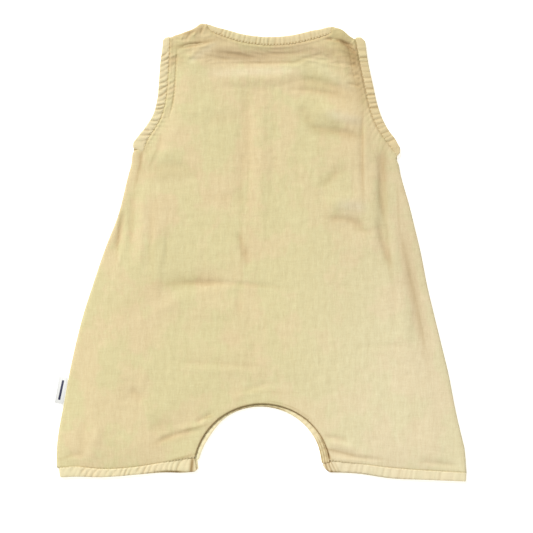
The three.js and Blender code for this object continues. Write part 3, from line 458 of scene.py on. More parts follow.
# How deep the gathers are beside each tape, and how far they reach into the panel
edgeGathers = {
    "neck": {"depth": 0.4, "reach": 4.5},
    "armLeft": {"depth": 0.5, "reach": 6},
    "armRight": {"depth": 0.35, "reach": 7},
    "hemLeft": {"depth": 0.25, "reach": 4},
    "hemRight": {"depth": 0.12, "reach": 4},
}

# The seam allowances that press through beside the armholes: from and to are distances down the armhole
allowances = {
    "armLeft": {"from": 12, "to": 66, "width": 6.6, "depth": 0.9},
    "armRight": {"from": 2, "to": 40, "width": 7.5, "depth": 0.35},
}


def backSheet():
    bm = mergedCopy("back_panel")
    below = [f for f in bm.faces if f.normal.z < 0.5]
    bmesh.ops.delete(bm, geom=below, context="FACES")
    bmesh.ops.join_triangles(
        bm,
        faces=bm.faces,
        angle_face_threshold=math.radians(60),
        angle_shape_threshold=math.radians(100),
    )
    return bmeshOf(softened(objectFrom(bm, "backSheet"), 1))


# Smaller faces over the shoulders and beside the sewn edges and the arch, where the folds are finest
def refine(bm, outline):
    bmesh.ops.subdivide_edges(bm, edges=bm.edges, cuts=2, use_grid_fill=True)
    centres = np.array([f.calc_center_median()[:] for f in bm.faces])
    away, _, kind = edgeFields(centres, outline)
    high = centres[:, 1] > backCloth["fineAbove"] * mm
    fine = high | ((away < backCloth["fineEdge"] * mm) & (kind != "side"))
    edges = {e for f, chosen in zip(bm.faces, fine) if chosen for e in f.edges}
    bmesh.ops.subdivide_edges(bm, edges=list(edges), cuts=1, use_grid_fill=True)


def liftSheet(bm, lift):
    bm.verts.ensure_lookup_table()
    for vert, rise in zip(bm.verts, lift):
        vert.co.z += rise


# From 0 in the calm spots to 1 away from them
def calmOf(points):
    calm = np.ones(len(points))
    for spot in calmSpots:
        gone = np.hypot(points[:, 0] / mm - spot["x"], points[:, 1] / mm - spot["y"])
        calm *= 1 - np.exp(-((gone / spot["reach"]) ** 4))
    return calm


# Carries the sewn edges on under their tapes
def tuckUnder(bm, reach, kinds):
    bm.normal_update()
    moves = {}
    for vert in bm.verts:
        if vert.is_boundary and kindOfEdge(vert.co) in kinds:
            out = Vector((0, 0, 0))
            for edge in vert.link_edges:
                if edge.is_boundary:
                    along = edge.verts[1].co - edge.verts[0].co
                    side = Vector((-along.y, along.x, 0)).normalized()
                    inwards = edge.link_faces[0].calc_center_median() - vert.co
                    out -= side if side.dot(inwards) > 0 else -side
            moves[vert] = out.normalized() * reach * float(calmOf(np.array([vert.co[:]]))[0])
    for vert, move in moves.items():
        vert.co += move


def walled(obj, thickness, upwards=False):
    wall = obj.modifiers.new("wall", "SOLIDIFY")
    wall.thickness = thickness
    wall.offset = 1 if upwards else -1
    wall.use_even_offset = False
    return applyModifiers(obj)


def backLift(points, outline, stretches):
    xs, ys = points[:, 0], points[:, 1]
    away, run, kind = edgeFields(points, outline)
    sewn = ~np.isin(kind, ["side", "arch"]) * calmOf(points)
    inside = smoothStep(0, 22 * mm, away)
    lift = creaseHeight(xs, ys, creaseTable) * smoothStep(0, 5 * mm, away)
    lift += gatherField(run, away, kind) * mm * calmOf(points)
    pucker = gatherWave(run, 8.5 * mm, away / (30 * mm), 8.5) - 0.5
    besideSeam = np.exp(-away / (7 * mm))
    lift += (kind == "side") * calmOf(points) * pucker * backCloth["seamPucker"] * mm * besideSeam
    lift += crinkleNoise(xs, ys, 4.2 * mm, 34 * mm, 0.0) * backCloth["streaks"] * mm * inside
    lift += crinkleNoise(xs, ys, 15 * mm, 5 * mm, 5.0) * backCloth["crinkle"] * mm * inside
    lift += crinkleNoise(xs, ys, 5 * mm, 5.5 * mm, 9.0) * backCloth["crinkle"] * mm * inside
    crumpled = smoothStep(166 * mm, 176 * mm, ys) * smoothStep(0, 6 * mm, away)
    folds = 1 - 2 * np.abs(crinkleNoise(xs + 0.3 * ys, ys, 17 * mm, 4.5 * mm, 13.0))
    lift += (folds - 0.6) * backCloth["crumple"] * mm * crumpled
    lift -= backCloth["edgeDrop"] * mm * (kind == "side") * np.exp(-away / (1.1 * mm)) * calmOf(points)
    lift -= 0.5 * mm * (kind == "arch") * np.exp(-away / (1.2 * mm))
    lip = np.where(np.isin(kind, ["hemLeft", "hemRight"]), 0.0, 1.0)
    lift -= 0.35 * mm * (1 - lip) * np.exp(-away / (1.0 * mm))
    lift += sewn * lip * backCloth["lip"] * mm * np.exp(-(((away - 1.5 * mm) / (1.1 * mm)) ** 2))
    lift -= sewn * lip * 0.5 * mm * np.exp(-((away / (0.6 * mm)) ** 2))
    for name, allowance in allowances.items():
        groove, ridge, ripple = allowanceFields(points, stretches[name], allowance, kind == name)
        lift += mm * (0.35 * ridge + 0.5 * ridge * (ripple - 0.5) - allowance["depth"] * groove)
    return lift


def makeBack():
    bm = backSheet()
    lower = bm.copy()
    outline = outlineOf(bm)
    refine(bm, outline)
    outline = outlineOf(bm)
    stretches = {name: inOrder(name, stretchOf(outline, name)) for name in [*tapeNodes, "arch"]}
    for sheet in (bm, lower):
        points = np.array([v.co[:] for v in sheet.verts])
        liftSheet(sheet, backLift(points, outline, stretches))
        tuckUnder(sheet, backCloth["tuckUnder"] * mm, tapeNodes)
    drop = Vector((0, 0, -backCloth["thickness"] * mm))
    rim = bmesh.ops.extrude_edge_only(bm, edges=[e for e in bm.edges if e.is_boundary])
    bmesh.ops.translate(bm, vec=drop, verts=[g for g in rim["geom"] if isinstance(g, bmesh.types.BMVert)])
    bmesh.ops.translate(lower, vec=drop, verts=lower.verts)
    bmesh.ops.reverse_faces(lower, faces=lower.faces)
    lowerMesh = bpy.data.meshes.new("lowerSide")
    lower.to_mesh(lowerMesh)
    lower.free()
    bm.from_mesh(lowerMesh)
    bpy.data.meshes.remove(lowerMesh)
    obj = objectFrom(bm, "backPanel")
    verts = np.array([v.co[:] for v in obj.data.vertices])
    cutCorners(verts, tapeLook["neck"])
    obj.data.vertices.foreach_set("co", verts.ravel())
    setAttribute(obj, "tone", backTone(verts, outline, stretches))
    setAttribute(obj, "pale", backPale(verts))
    blush = markSum(verts[:, 0] / mm, verts[:, 1] / mm, blushMarks, "blush")
    # The troughs' painted shade is painted warmer (peachier) as well
    setAttribute(obj, "blush", blush + 0.5 * creaseShade(verts) - 0.12)
    print("back panel", len(obj.data.polygons), "faces")
    return obj, stretches


# How deep each place lies in a trough, in millimetres
def creaseShade(verts):
    return np.clip(-creaseHeight(verts[:, 0], verts[:, 1], creaseTable) / mm, 0, 1.4)


# Puckers in the panel beside its tapes, in millimetres
def gatherField(run, away, kind):
    depth = np.array([edgeGathers[k]["depth"] if k in edgeGathers else 0 for k in kind])
    reach = np.array([edgeGathers[k]["reach"] if k in edgeGathers else 1 for k in kind]) * mm
    reach = reach * (1 + 0.5 * crinkleNoise(run, run, 9 * mm, 9 * mm, 3.0))
    wave = gatherWave(run, backCloth["gatherPitch"] * mm, away / (9 * mm), 1.5) - 0.5
    return wave * depth * np.exp(-away / reach)


# The groove, the ridge and the ripples of a seam allowance
def allowanceFields(points, stretch, allowance, near):
    down, off = alongStretch(points, stretch)
    shown = smoothStep(allowance["from"] - 5, allowance["from"] + 5, down / mm)
    shown = shown * smoothStep(allowance["to"] + 12, allowance["to"] - 12, down / mm) * near
    groove = shown * np.exp(-(((off / mm - allowance["width"]) / 0.8) ** 2))
    ridge = shown * np.exp(-(((off / mm - allowance["width"] * 0.5) / 2.2) ** 2))
    return groove, ridge, gatherWave(down, 5.4 * mm, 0.8 * off / (7 * mm), 17.0)


# How much darker or lighter each thing is painted on the back. The placket, the crotch facing's edge and the
# armhole allowances under it show through; its top and right side, its troughs, its gathers' valleys, the
# allowances' grooves, the grooves beside the tapes and hems, a line along its arch edge and its side edges
# get painted shade; its gathers' bulges and its lower legs are painted lighter
backShades = {
    "placket": 0.012,
    "placketEdge": 0.02,
    "yoke": 0.08,
    "rightSide": 0.05,
    "creases": 0.085,
    "gathers": 0.10,
    "allowances": 0.22,
    "legs": 0.012,
    "besideTape": 0.09,
    "besideHem": 0.02,
    "archEdge": 0.4,
    "facingLine": 0.13,
    "sideEdge": 0.03,
}


# How light the back is painted from place to place, with the show-through, painted shade and painted light
# listed above
def backTone(verts, outline, stretches):
    xs, ys = verts[:, 0] / mm, verts[:, 1] / mm
    away, run, kind = edgeFields(verts, outline)
    tone = 1 + markSum(xs, ys, toneMarks, "tone")
    onStrip = smoothStep(-14, -11, xs) * smoothStep(10, 7, xs)
    onStrip = onStrip * smoothStep(-14, -8, ys) * smoothStep(166, 158, ys)
    tone -= backShades["placket"] * onStrip
    placketEdge = backShades["placketEdge"] * np.exp(-(((xs + 12) / 2.5) ** 2))
    tone -= placketEdge * smoothStep(-14, 10, ys) * smoothStep(166, 150, ys)
    # Painted shade: darker towards the top and down the right side, where less light falls, and in the
    # troughs; painted light on the gathers' bulges and painted shade in their valleys
    tone -= backShades["yoke"] * smoothStep(160, 205, ys)
    tone -= backShades["rightSide"] * smoothStep(20, 90, xs) * smoothStep(-120, 60, ys)
    tone -= backShades["creases"] * creaseShade(verts)
    tone += backShades["gathers"] * gatherField(run, away, kind)
    # The allowances show through, with painted shade in their grooves, dotted at the stitches, and in their
    # ripples' valleys
    for name, allowance in allowances.items():
        groove, ridge, ripple = allowanceFields(verts, stretches[name], allowance, kind == name)
        down, _ = alongStretch(verts, stretches[name])
        spaced = 0.55 + 0.45 * np.cos(2 * np.pi * down / (stitchLook["pitch"] * mm))
        pressed = groove * spaced + 0.4 * ridge * (1 - ripple)
        tone -= backShades["allowances"] * allowance["depth"] * pressed
    away = away / mm
    tone += backShades["legs"] * smoothStep(-130, -200, ys)
    # Painted shade in the grooves beside the tapes and hems, a painted shadow line along the arch edge, the
    # facing's edge showing through as a line, and painted shade where the side edges roll down
    tone -= backShades["besideTape"] * np.exp(-away / 1.4) * np.isin(kind, ["neck", "armLeft", "armRight"])
    tone -= backShades["besideHem"] * np.exp(-away / 1.4) * np.isin(kind, ["hemLeft", "hemRight"])
    tone -= backShades["archEdge"] * np.exp(-((away / 0.7) ** 2)) * (kind == "arch")
    facingLine = smoothStep(0, 12, xs) * smoothStep(54, 42, xs) * (kind == "arch")
    tone -= backShades["facingLine"] * np.exp(-(((away - 2.6) / 0.6) ** 2)) * facingLine
    tone -= backShades["sideEdge"] * np.exp(-away / 3.0) * (kind == "side")
    return tone


# Where the back is painted paler and greyer: in the marks above, over the front neckline's tape and where it
# greys their painted shade and highlights, and down its right side
def backPale(verts):
    xs, ys = verts[:, 0] / mm, verts[:, 1] / mm
    right = smoothStep(-30, 170, xs - 0.25 * ys) * smoothStep(190, 60, ys)
    return markSum(xs, ys, toneMarks, "pale") + 0.34 * right ** 1.4


# Tapes, hem bands and crotch strips

tapeLook = {
    "neck": {
        "pitch": 4.8,
        "depth": 0.45,
        "slant": 0.35,
        "calmStart": 14,
        "calmEnd": 14,
        "seam": 1,
        "valley": 0.15,
        "dots": 0.24,
        "light": 0.0,
        "pale": 0.0,
        "ends": [],
        "corners": [{"x": -50.8, "y": 210.2, "turn": 95, "cut": 1.9}],
    },
    "armLeft": {
        "pitch": 5.4,
        "depth": 0.85,
        "slant": 1.0,
        "seam": 1,
        "valley": 0.17,
        "dots": 0.22,
        "light": 0.03,
        "pale": 0.1,
        "calmStart": 14,
        "calmEnd": 10,
        "ends": [{"x": -111.6, "y": 95.5, "turn": -96, "reach": 5, "wide": 7, "grow": 2.4}],
        "corners": [{"x": -89.7, "y": 197.8, "turn": 135, "cut": 2.2}],
    },
    "armRight": {
        "pitch": 5.0,
        "depth": 0.65,
        "slant": 0.3,
        "seam": 1,
        "valley": 0.17,
        "dots": 0.26,
        "light": -0.07,
        "pale": 0.0,
        "calmStart": 12,
        "calmEnd": 14,
        "ends": [{"x": 127.0, "y": 89.4, "turn": -70, "reach": 4, "wide": 5, "grow": 1.6}],
        "corners": [
            {"x": 95.2, "y": 196.9, "turn": 50, "cut": 1.4},
            {"x": 128.9, "y": 90.2, "turn": -35, "cut": 1.7},
        ],
    },
    "hemLeft": {
        "pitch": 5.6,
        "depth": 0.5,
        "slant": 1.2,
        "calmStart": 8,
        "calmEnd": 8,
        "seam": -0.8,
        "valley": 0.12,
        "dots": 0.05,
        "light": 0.09,
        "pale": 0.1,
        "ends": [],
        "corners": [
            {"x": -58.0, "y": -201.9, "turn": -45, "cut": 2.0},
            {"x": -186.8, "y": -205.6, "turn": 225, "cut": 1.4},
        ],
    },
    "hemRight": {
        "pitch": 6.4,
        "depth": 0.16,
        "slant": -0.3,
        "calmStart": 10,
        "calmEnd": 6,
        "seam": -0.8,
        "valley": 0.03,
        "dots": 0.06,
        "light": 0.04,
        "pale": 0.35,
        "ends": [],
        "corners": [{"x": 56.6, "y": -200.1, "turn": 225, "cut": 3.4}],
    },
}


# Painted shade in the folds where the hem bands end at the inner legs
hemMarks = [
    {"x": -63.2, "y": -196, "long": 8, "wide": 1.6, "turn": 84, "tone": -0.62},
    {"x": -82, "y": -202, "long": 10, "wide": 1.3, "turn": 2, "tone": -0.5},
    {"x": 60.0, "y": -195, "long": 10, "wide": 0.9, "turn": -74, "tone": -0.5},
    {"x": 63.0, "y": -195, "long": 10, "wide": 0.8, "turn": -68, "tone": -0.4},
    {"x": 66.5, "y": -196, "long": 8, "wide": 0.8, "turn": -62, "tone": -0.28},
    {"x": 70.5, "y": -198, "long": 6, "wide": 0.9, "turn": -66, "tone": -0.16},
    {"x": 61, "y": -201, "long": 9, "wide": 1.2, "turn": -6, "tone": -0.3},
]


# Distance along a stretch and away from it, for each point
def alongStretch(points, stretch):
    fine, runs, run = [], [], 0.0
    for a, b in zip(stretch, stretch[1:]):
        steps = max(1, int((b - a).length / (0.4 * mm)))
        for k in range(steps):
            fine.append(a.lerp(b, k / steps))
            runs.append(run + (b - a).length * k / steps)
        run += (b - a).length
    tree = planTree(fine)
    found = [tree.find((p[0], p[1], 0)) for p in points]
    return np.array([runs[f[1]] for f in found]), np.array([f[2] for f in found])


# Stretches run from the shoulder down, from the left end of the neck, and from the inner leg out
def inOrder(kind, stretch):
    first, last = stretch[0], stretch[-1]
    alreadyInOrder = {
        "neck": first.x < last.x,
        "armLeft": first.y > last.y,
        "armRight": first.y > last.y,
        "hemLeft": first.x > last.x,
        "hemRight": first.x < last.x,
        "arch": first.x < last.x,
    }
    return stretch if alreadyInOrder[kind] else stretch[::-1]


def makeTape(kind, stretch, frontStretch, name):
    look = tapeLook[kind]
    obj = softened(objectFrom(mergedCopy(tapeNodes[kind]), name), 3)
    count = len(obj.data.vertices)
    points = np.empty(count * 3)
    normals = np.empty(count * 3)
    obj.data.vertices.foreach_get("co", points)
    obj.data.vertex_normals.foreach_get("vector", normals)
    points, normals = points.reshape(-1, 3), normals.reshape(-1, 3)
    run, away = alongStretch(points, stretch)
    widest = np.percentile(away, 96)
    across = np.clip(away / widest, 0, 1)
    slope = -look["slant"] * (across + 0.5 * across * (1 - across))
    wave = gatherWave(run, look["pitch"] * mm, slope, 4.0, 1.15)
    uneven = np.array([noise.noise((r / (6.5 * mm), 0.5, 8.0)) for r in run])
    wave = 1 - (1 - wave) * np.clip(0.72 + 0.8 * uneven, 0.2, 1.15)
    calm = smoothStep(0.35, 1, run / (look["calmStart"] * mm))
    calm = calm * smoothStep(0.35, 1, (run.max() - run) / (look["calmEnd"] * mm))
    wave = 1 - (1 - wave) * (0.15 + 0.85 * calm)
    onTop = smoothStep(0.1, 0.7, normals[:, 2])
    profile = smoothStep(-0.12, 0.25, across) * (0.55 + 0.45 * smoothStep(1.05, 0.75, across))
    points[:, 2] += look["depth"] * mm * (wave - 0.7) * profile * onTop
    seam = look["seam"]
    points[:, 2] -= seam * 0.25 * mm * np.exp(-((across / 0.09) ** 2)) * onTop
    points[:, 2] -= seam * 0.15 * mm * np.exp(-(((across - 0.15) / 0.06) ** 2)) * onTop
    spaced = 0.5 - 0.5 * np.cos(2 * np.pi * run / (stitchLook["pitch"] * mm))
    outwards = outwardsOf(points, stretch)
    points[:, :2] += outwards * (0.35 * mm * (wave - 0.6) * smoothStep(0.4, 1, across) * onTop)[:, None]
    if frontStretch:
        runFront, awayFront = alongStretch(points, frontStretch)
        under = smoothStep(-0.1, -0.7, normals[:, 2]) * (points[:, 2] < 1 * mm)
        waveFront = gatherWave(runFront, look["pitch"] * mm, look["slant"] * awayFront / widest, 6.0)
        points[:, 2] += 0.3 * mm * (1 - waveFront) * under
        points[:, 2] += 0.25 * mm * np.exp(-(((awayFront / widest - 0.16) / 0.07) ** 2)) * under
    growEnds(points, look)
    cutCorners(points, look)
    obj.data.vertices.foreach_set("co", points.ravel())
    obj.data.update()
    # Painted shade on the tape: in its gathers' valleys, in darker lines along the valleys, and along the
    # seam, dotted at the stitch holes, with each tape's own lightness and the hem folds' painted shade
    tone = 1 + look["light"] - 0.05 * (1 - wave) * onTop
    tone -= look["valley"] * np.exp(-((wave / 0.38) ** 2)) * onTop
    tone -= look["dots"] * (0.2 + calm * (1 - spaced)) * np.exp(-(((across - 0.05) / 0.055) ** 2)) * onTop
    tone += markSum(points[:, 0] / mm, points[:, 1] / mm, hemMarks, "tone")
    setAttribute(obj, "pale", np.full(count, look["pale"]))
    setAttribute(obj, "tone", tone)
    print(name, len(obj.data.polygons), "faces")
    return obj


# The way from the nearest point of a stretch to each point, in plan
def outwardsOf(points, stretch):
    tree = planTree(stretch)
    near = np.array([stretch[tree.find((p[0], p[1], 0))[1]][:2] for p in points])
    way = points[:, :2] - near
    return way / np.maximum(np.linalg.norm(way, axis=1), 1e-6)[:, None]


# The way that an end or a corner points, and how far each point is past it and beside it, in millimetres
def placed(points, spot):
    way = np.array([math.cos(math.radians(spot["turn"])), math.sin(math.radians(spot["turn"]))])
    gone = points[:, :2] / mm - np.array([spot["x"], spot["y"]])
    return way, gone @ way, np.abs(gone @ np.array([-way[1], way[0]]))


# Pushes a tape's ends on along their own ways. Each end has its place, its way and how far it goes.
def growEnds(points, look):
    for end in look["ends"]:
        way, past, beside = placed(points, end)
        share = smoothStep(-end["reach"], 0, past) * smoothStep(end["wide"] + 3, end["wide"], beside)
        points[:, :2] += way * (share * end["grow"] * mm)[:, None]


# Rounds the corners of a tape or a panel. Turn is the way out of the corner, and cut is how much of it goes.
def cutCorners(points, look):
    for corner in look["corners"]:
        way, past, beside = placed(points, corner)
        over = np.clip(corner["cut"] + past, 0, None) * (beside < 3 * corner["cut"] + 2)
        points[:, :2] -= way * (0.85 * over * mm)[:, None]


# Crown, left and right are how light each strip is painted at the top of the arch and down each leg. The
# front strip is painted lighter than its cloth, most down the left leg, against the shadow of the back's
# edge over it; the back strip, under that edge, is painted darker as shade
stripLook = {
    "front": {
        "levels": 3,
        "pitch": 6.4,
        "depth": 0.3,
        "layer": 14.0,
        "raised": 0.9,
        "crown": 1.05,
        "left": 1.27,
        "right": 1.15,
        "easings": [{"x": -48, "y": -166, "reach": 17, "right": 1.7, "up": -0.5}],
    },
    "back": {
        "levels": 2,
        "pitch": 7.0,
        "depth": 0.15,
        "layer": 15.0,
        "raised": 0,
        "crown": 0.75,
        "left": 0.8,
        "right": 0.8,
        "easings": [],
    },
}


# How far the centre of the arch between the legs lies below the middle of the romper
archDrop = 198 * mm


# A strip along the crotch, puckered across
def makeStrip(nodeName, name, look, arch):
    obj = softened(objectFrom(mergedCopy(nodeName), name), look["levels"])
    ease(obj, look["easings"])
    points = np.array([v.co[:] for v in obj.data.vertices])
    normals = np.array([n.vector[:] for n in obj.data.vertex_normals])
    angle = np.arctan2(points[:, 1] + archDrop, points[:, 0])
    wave = gatherWave(angle * 60 * mm, look["pitch"] * mm, 0, look["layer"])
    ended = smoothStep(-176 * mm, -189 * mm, points[:, 1])
    points[:, 1] -= 3.6 * mm * ended
    points[:, 0] -= 1.3 * mm * ended * (points[:, 0] < 0)
    onTop = smoothStep(0.1, 0.7, normals[:, 2])
    radius = np.hypot(points[:, 0], points[:, 1] + archDrop)
    run, off = alongStretch(points, arch)
    archRuns = np.cumsum([0] + [(b - a).length for a, b in zip(arch, arch[1:])])
    edgeRadius = np.interp(run, archRuns, [math.hypot(p.x, p.y + archDrop) for p in arch])
    shown = np.where(radius < edgeRadius, off, 0) / mm
    points[:, 2] += look["depth"] * mm * (wave - 0.6) * onTop
    points[:, 2] += look["raised"] * mm * smoothStep(0.5, 1.6, shown) * onTop
    obj.data.vertices.foreach_set("co", points.ravel())
    turned = np.degrees(angle)
    # Painted light and shade on the strip: its lightness round the arch, painted shade in its gathers'
    # valleys, a painted shadow line where it goes under the back's edge, darker over its outer part at the
    # crown, and painted shade in its folds near the right leg's end
    tone = np.full(len(points), look["crown"]) - 0.08 * (1 - wave)
    tone += (look["left"] - look["crown"]) * smoothStep(108, 122, turned)
    tone += (look["right"] - look["crown"]) * smoothStep(74, 62, turned)
    tone -= 0.36 * np.exp(-((shown / 0.65) ** 2))
    atCrown = smoothStep(62, 74, turned) * smoothStep(122, 108, turned)
    tone -= 0.4 * atCrown * smoothStep(1.6, 2.6, shown)
    stripes = 0.5 + 0.5 * np.cos(2 * np.pi * radius / (2.2 * mm))
    tone -= (0.06 + 0.42 * stripes) * smoothStep(34, 20, turned)
    setAttribute(obj, "tone", 1 + (tone - 1) * onTop)
    return obj


# Front panel

frontCloth = {
    "grid": 3.0,
    "thickness": 0.8,
    "hollow": 0.7,
    "mirrored": 0.8,
    "streaks": 0.35,
    "gatherPitch": 5.4,
    "gathers": 0.3,
}


def frontSheet():
    bm = mergedCopy("front_panel")
    above = [f for f in bm.faces if f.normal.z > -0.5]
    bmesh.ops.delete(bm, geom=above, context="FACES")
    bmesh.ops.dissolve_faces(bm, faces=bm.faces, use_verts=False)
    low = min(v.co.x for v in bm.verts), min(v.co.y for v in bm.verts)
    high = max(v.co.x for v in bm.verts), max(v.co.y for v in bm.verts)
    pitch = frontCloth["grid"] * mm
    for axis in (0, 1):
        normal = Vector((1, 0, 0)) if axis == 0 else Vector((0, 1, 0))
        for k in range(1, int((high[axis] - low[axis]) / pitch) + 1):
            place = normal * (low[axis] + k * pitch - 0.37 * pitch)
            crossed = [e for e in bm.edges if crosses(e, axis, place[axis])]
            faces = {f for e in crossed for f in e.link_faces}
            edges = {e for f in faces for e in f.edges}
            verts = {v for e in edges for v in e.verts}
            geom = [*verts, *edges, *faces]
            bmesh.ops.bisect_plane(bm, geom=geom, dist=1e-7, plane_co=place, plane_no=normal)
    return bm


def crosses(edge, axis, level):
    a, b = edge.verts[0].co[axis], edge.verts[1].co[axis]
    return (a - level) * (b - level) <= 0


def makeFront():
    bm = frontSheet()
    for face in bm.faces:
        if face.normal.z < 0:
            face.normal_flip()
    outline = outlineOf(bm)
    points = np.array([v.co[:] for v in bm.verts])
    xs, ys = points[:, 0], points[:, 1]
    away, run, kind = edgeFields(points, outline)
    inside = smoothStep(0, 12 * mm, away)
    mirrored = -creaseHeight(-xs, ys, creaseTable) * frontCloth["mirrored"]
    hollow = np.clip(mirrored, 0, frontCloth["hollow"] * mm) * inside
    streaks = np.clip(crinkleNoise(xs, ys, 5 * mm, 22 * mm, 21.0), 0, 1)
    hollow += streaks * frontCloth["streaks"] * mm * inside
    sewn = kind != "side"
    wave = gatherWave(run, frontCloth["gatherPitch"] * mm, away / (9 * mm), 11.5)
    hollow += sewn * (1 - wave) * frontCloth["gathers"] * mm * np.exp(-away / (6 * mm))
    hollow += 0.2 * mm * (kind == "side") * np.exp(-away / (1.2 * mm))
    stretches = {name: inOrder(name, stretchOf(outline, name)) for name in tapeNodes}
    liftSheet(bm, hollow - points[:, 2])
    tuckUnder(bm, backCloth["tuckUnder"] * mm, tapeNodes)
    obj = walled(objectFrom(bm, "frontPanel"), frontCloth["thickness"] * mm, upwards=True)
    verts = np.array([v.co[:] for v in obj.data.vertices])
    cutCorners(verts, tapeLook["neck"])
    obj.data.vertices.foreach_set("co", verts.ravel())
    away, _, kind = edgeFields(verts, outline)
    # Painted shade beside the sewn edges and in the troughs that mirror the back's creases; the troughs'
    # shade is painted warmer too
    shade = np.clip(-creaseHeight(-verts[:, 0], verts[:, 1], creaseTable) / mm, 0, 1)
    setAttribute(obj, "tone", 1 - 0.07 * np.exp(-away / (1.6 * mm)) * (kind != "side") - 0.07 * shade)
    setAttribute(obj, "blush", 0.4 * shade)
    print("front panel", len(obj.data.polygons), "faces")
    return obj, stretches


# Placket and its buttons

placketLook = {"grid": 0.8, "stitchInset": 2.2, "dip": 0.25, "seat": 5.2, "neckRise": 9.0, "tuck": 1.0}
buttonLook = {"dish": 0.45, "rim": 1.1, "holeRadius": 0.65, "holeSpread": 1.5, "sides": 40}


def makePlacket():
    low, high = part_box("front_placket")
    centres = [(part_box(f"button_{n}")[0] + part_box(f"button_{n}")[1]) / 2 for n in range(1, 5)]
    width, length = high.x - low.x, high.y - low.y
    bm = bmesh.new()
    cells = int(width / (placketLook["grid"] * mm)), int(length / (placketLook["grid"] * mm))
    bmesh.ops.create_grid(bm, x_segments=cells[0], y_segments=cells[1], size=0.5)
    bmesh.ops.scale(bm, vec=(width, length, 1), verts=bm.verts)
    bmesh.ops.translate(bm, vec=((low.x + high.x) / 2, (low.y + high.y) / 2, 0), verts=bm.verts)
    for vert in bm.verts:
        edge = min(vert.co.x - low.x, high.x - vert.co.x, vert.co.y - low.y, high.y - vert.co.y) / mm
        nearest = min((vert.co.xy - c.xy).length for c in centres) / mm
        ripple = 0.5 + 0.5 * noise.noise(Vector((vert.co.x / (6 * mm), vert.co.y / (3 * mm), 2)))
        stitchDip = math.exp(-(((edge - placketLook["stitchInset"]) / 0.6) ** 2))
        seat = 1.45 * float(smoothStep(placketLook["seat"], placketLook["seat"] - 0.6, nearest))
        edgeRound = 0.6 * math.exp(-edge / 0.5)
        vert.co.z = mm * max(seat, placketLook["dip"] * stitchDip + 0.12 * ripple + edgeRound)
        rise = placketLook["neckRise"] * ((high.x - vert.co.x) / width) ** 1.55 + placketLook["tuck"]
        vert.co.y += rise * mm * float(smoothStep(14 * mm, 0, high.y - vert.co.y))
    obj = walled(objectFrom(bm, "frontPlacket"), 1.0 * mm, upwards=True)
    setAttribute(obj, "tone", np.ones(len(obj.data.vertices)))
    return obj, centres


def makeButton(number, centre):
    low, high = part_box(f"button_{number}")
    radius, depth = (high.x - low.x) / 2, high.z - low.z
    rim, dish = buttonLook["rim"] * mm, buttonLook["dish"] * mm
    profile = [(0, dish), (radius - rim, dish), (radius - rim * 0.6, 0.05 * mm)]
    profile += [(radius - rim * 0.25, 0.05 * mm), (radius, depth * 0.35), (radius, depth * 0.8)]
    profile += [(radius - rim * 0.4, depth), (0, depth)]
    bm = bmesh.new()
    verts = [bm.verts.new((x, 0, z)) for x, z in profile]
    edges = [bm.edges.new(pair) for pair in zip(verts, verts[1:])]
    bmesh.ops.spin(
        bm,
        geom=[*verts, *edges],
        axis=(0, 0, 1),
        cent=(0, 0, 0),
        angle=math.tau,
        steps=buttonLook["sides"],
        use_merge=True,
    )
    bmesh.ops.remove_doubles(bm, verts=bm.verts, dist=1e-6)
    bmesh.ops.recalc_face_normals(bm, faces=bm.faces)
    bmesh.ops.translate(bm, vec=(centre.x, centre.y, low.z), verts=bm.verts)
    obj = objectFrom(bm, f"button{number}", smooth=False)
    cutter = holeCutter(centre)
    cut = obj.modifiers.new("holes", "BOOLEAN")
    cut.object = cutter
    cut.solver = "EXACT"
    applyModifiers(obj)
    bpy.data.objects.remove(cutter)
    return obj


def holeCutter(centre):
    bm = bmesh.new()
    spread = buttonLook["holeSpread"] * mm / 2
    for sx in (-1, 1):
        for sy in (-1, 1):
            place = Matrix.Translation((centre.x + sx * spread, centre.y + sy * spread, 0.6 * mm))
            radius = buttonLook["holeRadius"] * mm
            bmesh.ops.create_cone(
                bm, cap_ends=True, segments=16, radius1=radius, radius2=radius, depth=3 * mm, matrix=place
            )
    return objectFrom(bm, "holeCutter", smooth=False)


# Eased edges

# Where the laid edges ease out or in a little, in plan. Reach is how far round each place it shows.
easings = [
    {"x": -55.5, "y": 210, "reach": 4.2, "right": 0, "up": 2.0},
    {"x": -82, "y": 199, "reach": 5, "right": 0, "up": 1.9},
    {"x": -53, "y": 210, "reach": 7.5, "right": 0, "up": 1.3},
    {"x": 61.5, "y": 207, "reach": 5, "right": 0, "up": 1.4},
    {"x": 87, "y": 197, "reach": 5, "right": 0, "up": 0.9},
    {"x": 127.5, "y": 97, "reach": 3.6, "right": 1.7, "up": 0},
    {"x": 126.5, "y": 85, "reach": 3, "right": -1.6, "up": 0},
    {"x": -117.5, "y": 102, "reach": 4, "right": -1.3, "up": 0},
    {"x": -117, "y": 89.5, "reach": 3, "right": 0.8, "up": 0},
    {"x": 104, "y": 175, "reach": 18, "right": -0.7, "up": 0},
]
# The back's corners at the underarms and the neck, carried in under the ends of the tapes
backEasings = [
    {"x": -113.2, "y": 88.8, "reach": 4.5, "right": -3.0, "up": 1.6},
    {"x": -100.7, "y": 96, "reach": 6, "right": -0.9, "up": 0},
    {"x": 123.8, "y": 91, "reach": 4, "right": 0.6, "up": 0.3},
    {"x": -51.5, "y": 208.5, "reach": 3, "right": 0.9, "up": 0},
    {"x": 66.1, "y": 205.5, "reach": 3.2, "right": -1.0, "up": 0.2},
]
# The front's shoulder corners, carried in under the neck's tape
frontEasings = [
    {"x": -47.5, "y": 200, "reach": 4, "right": 3.2, "up": 0},
    {"x": 67, "y": 200.5, "reach": 4, "right": -3.2, "up": 0},
]


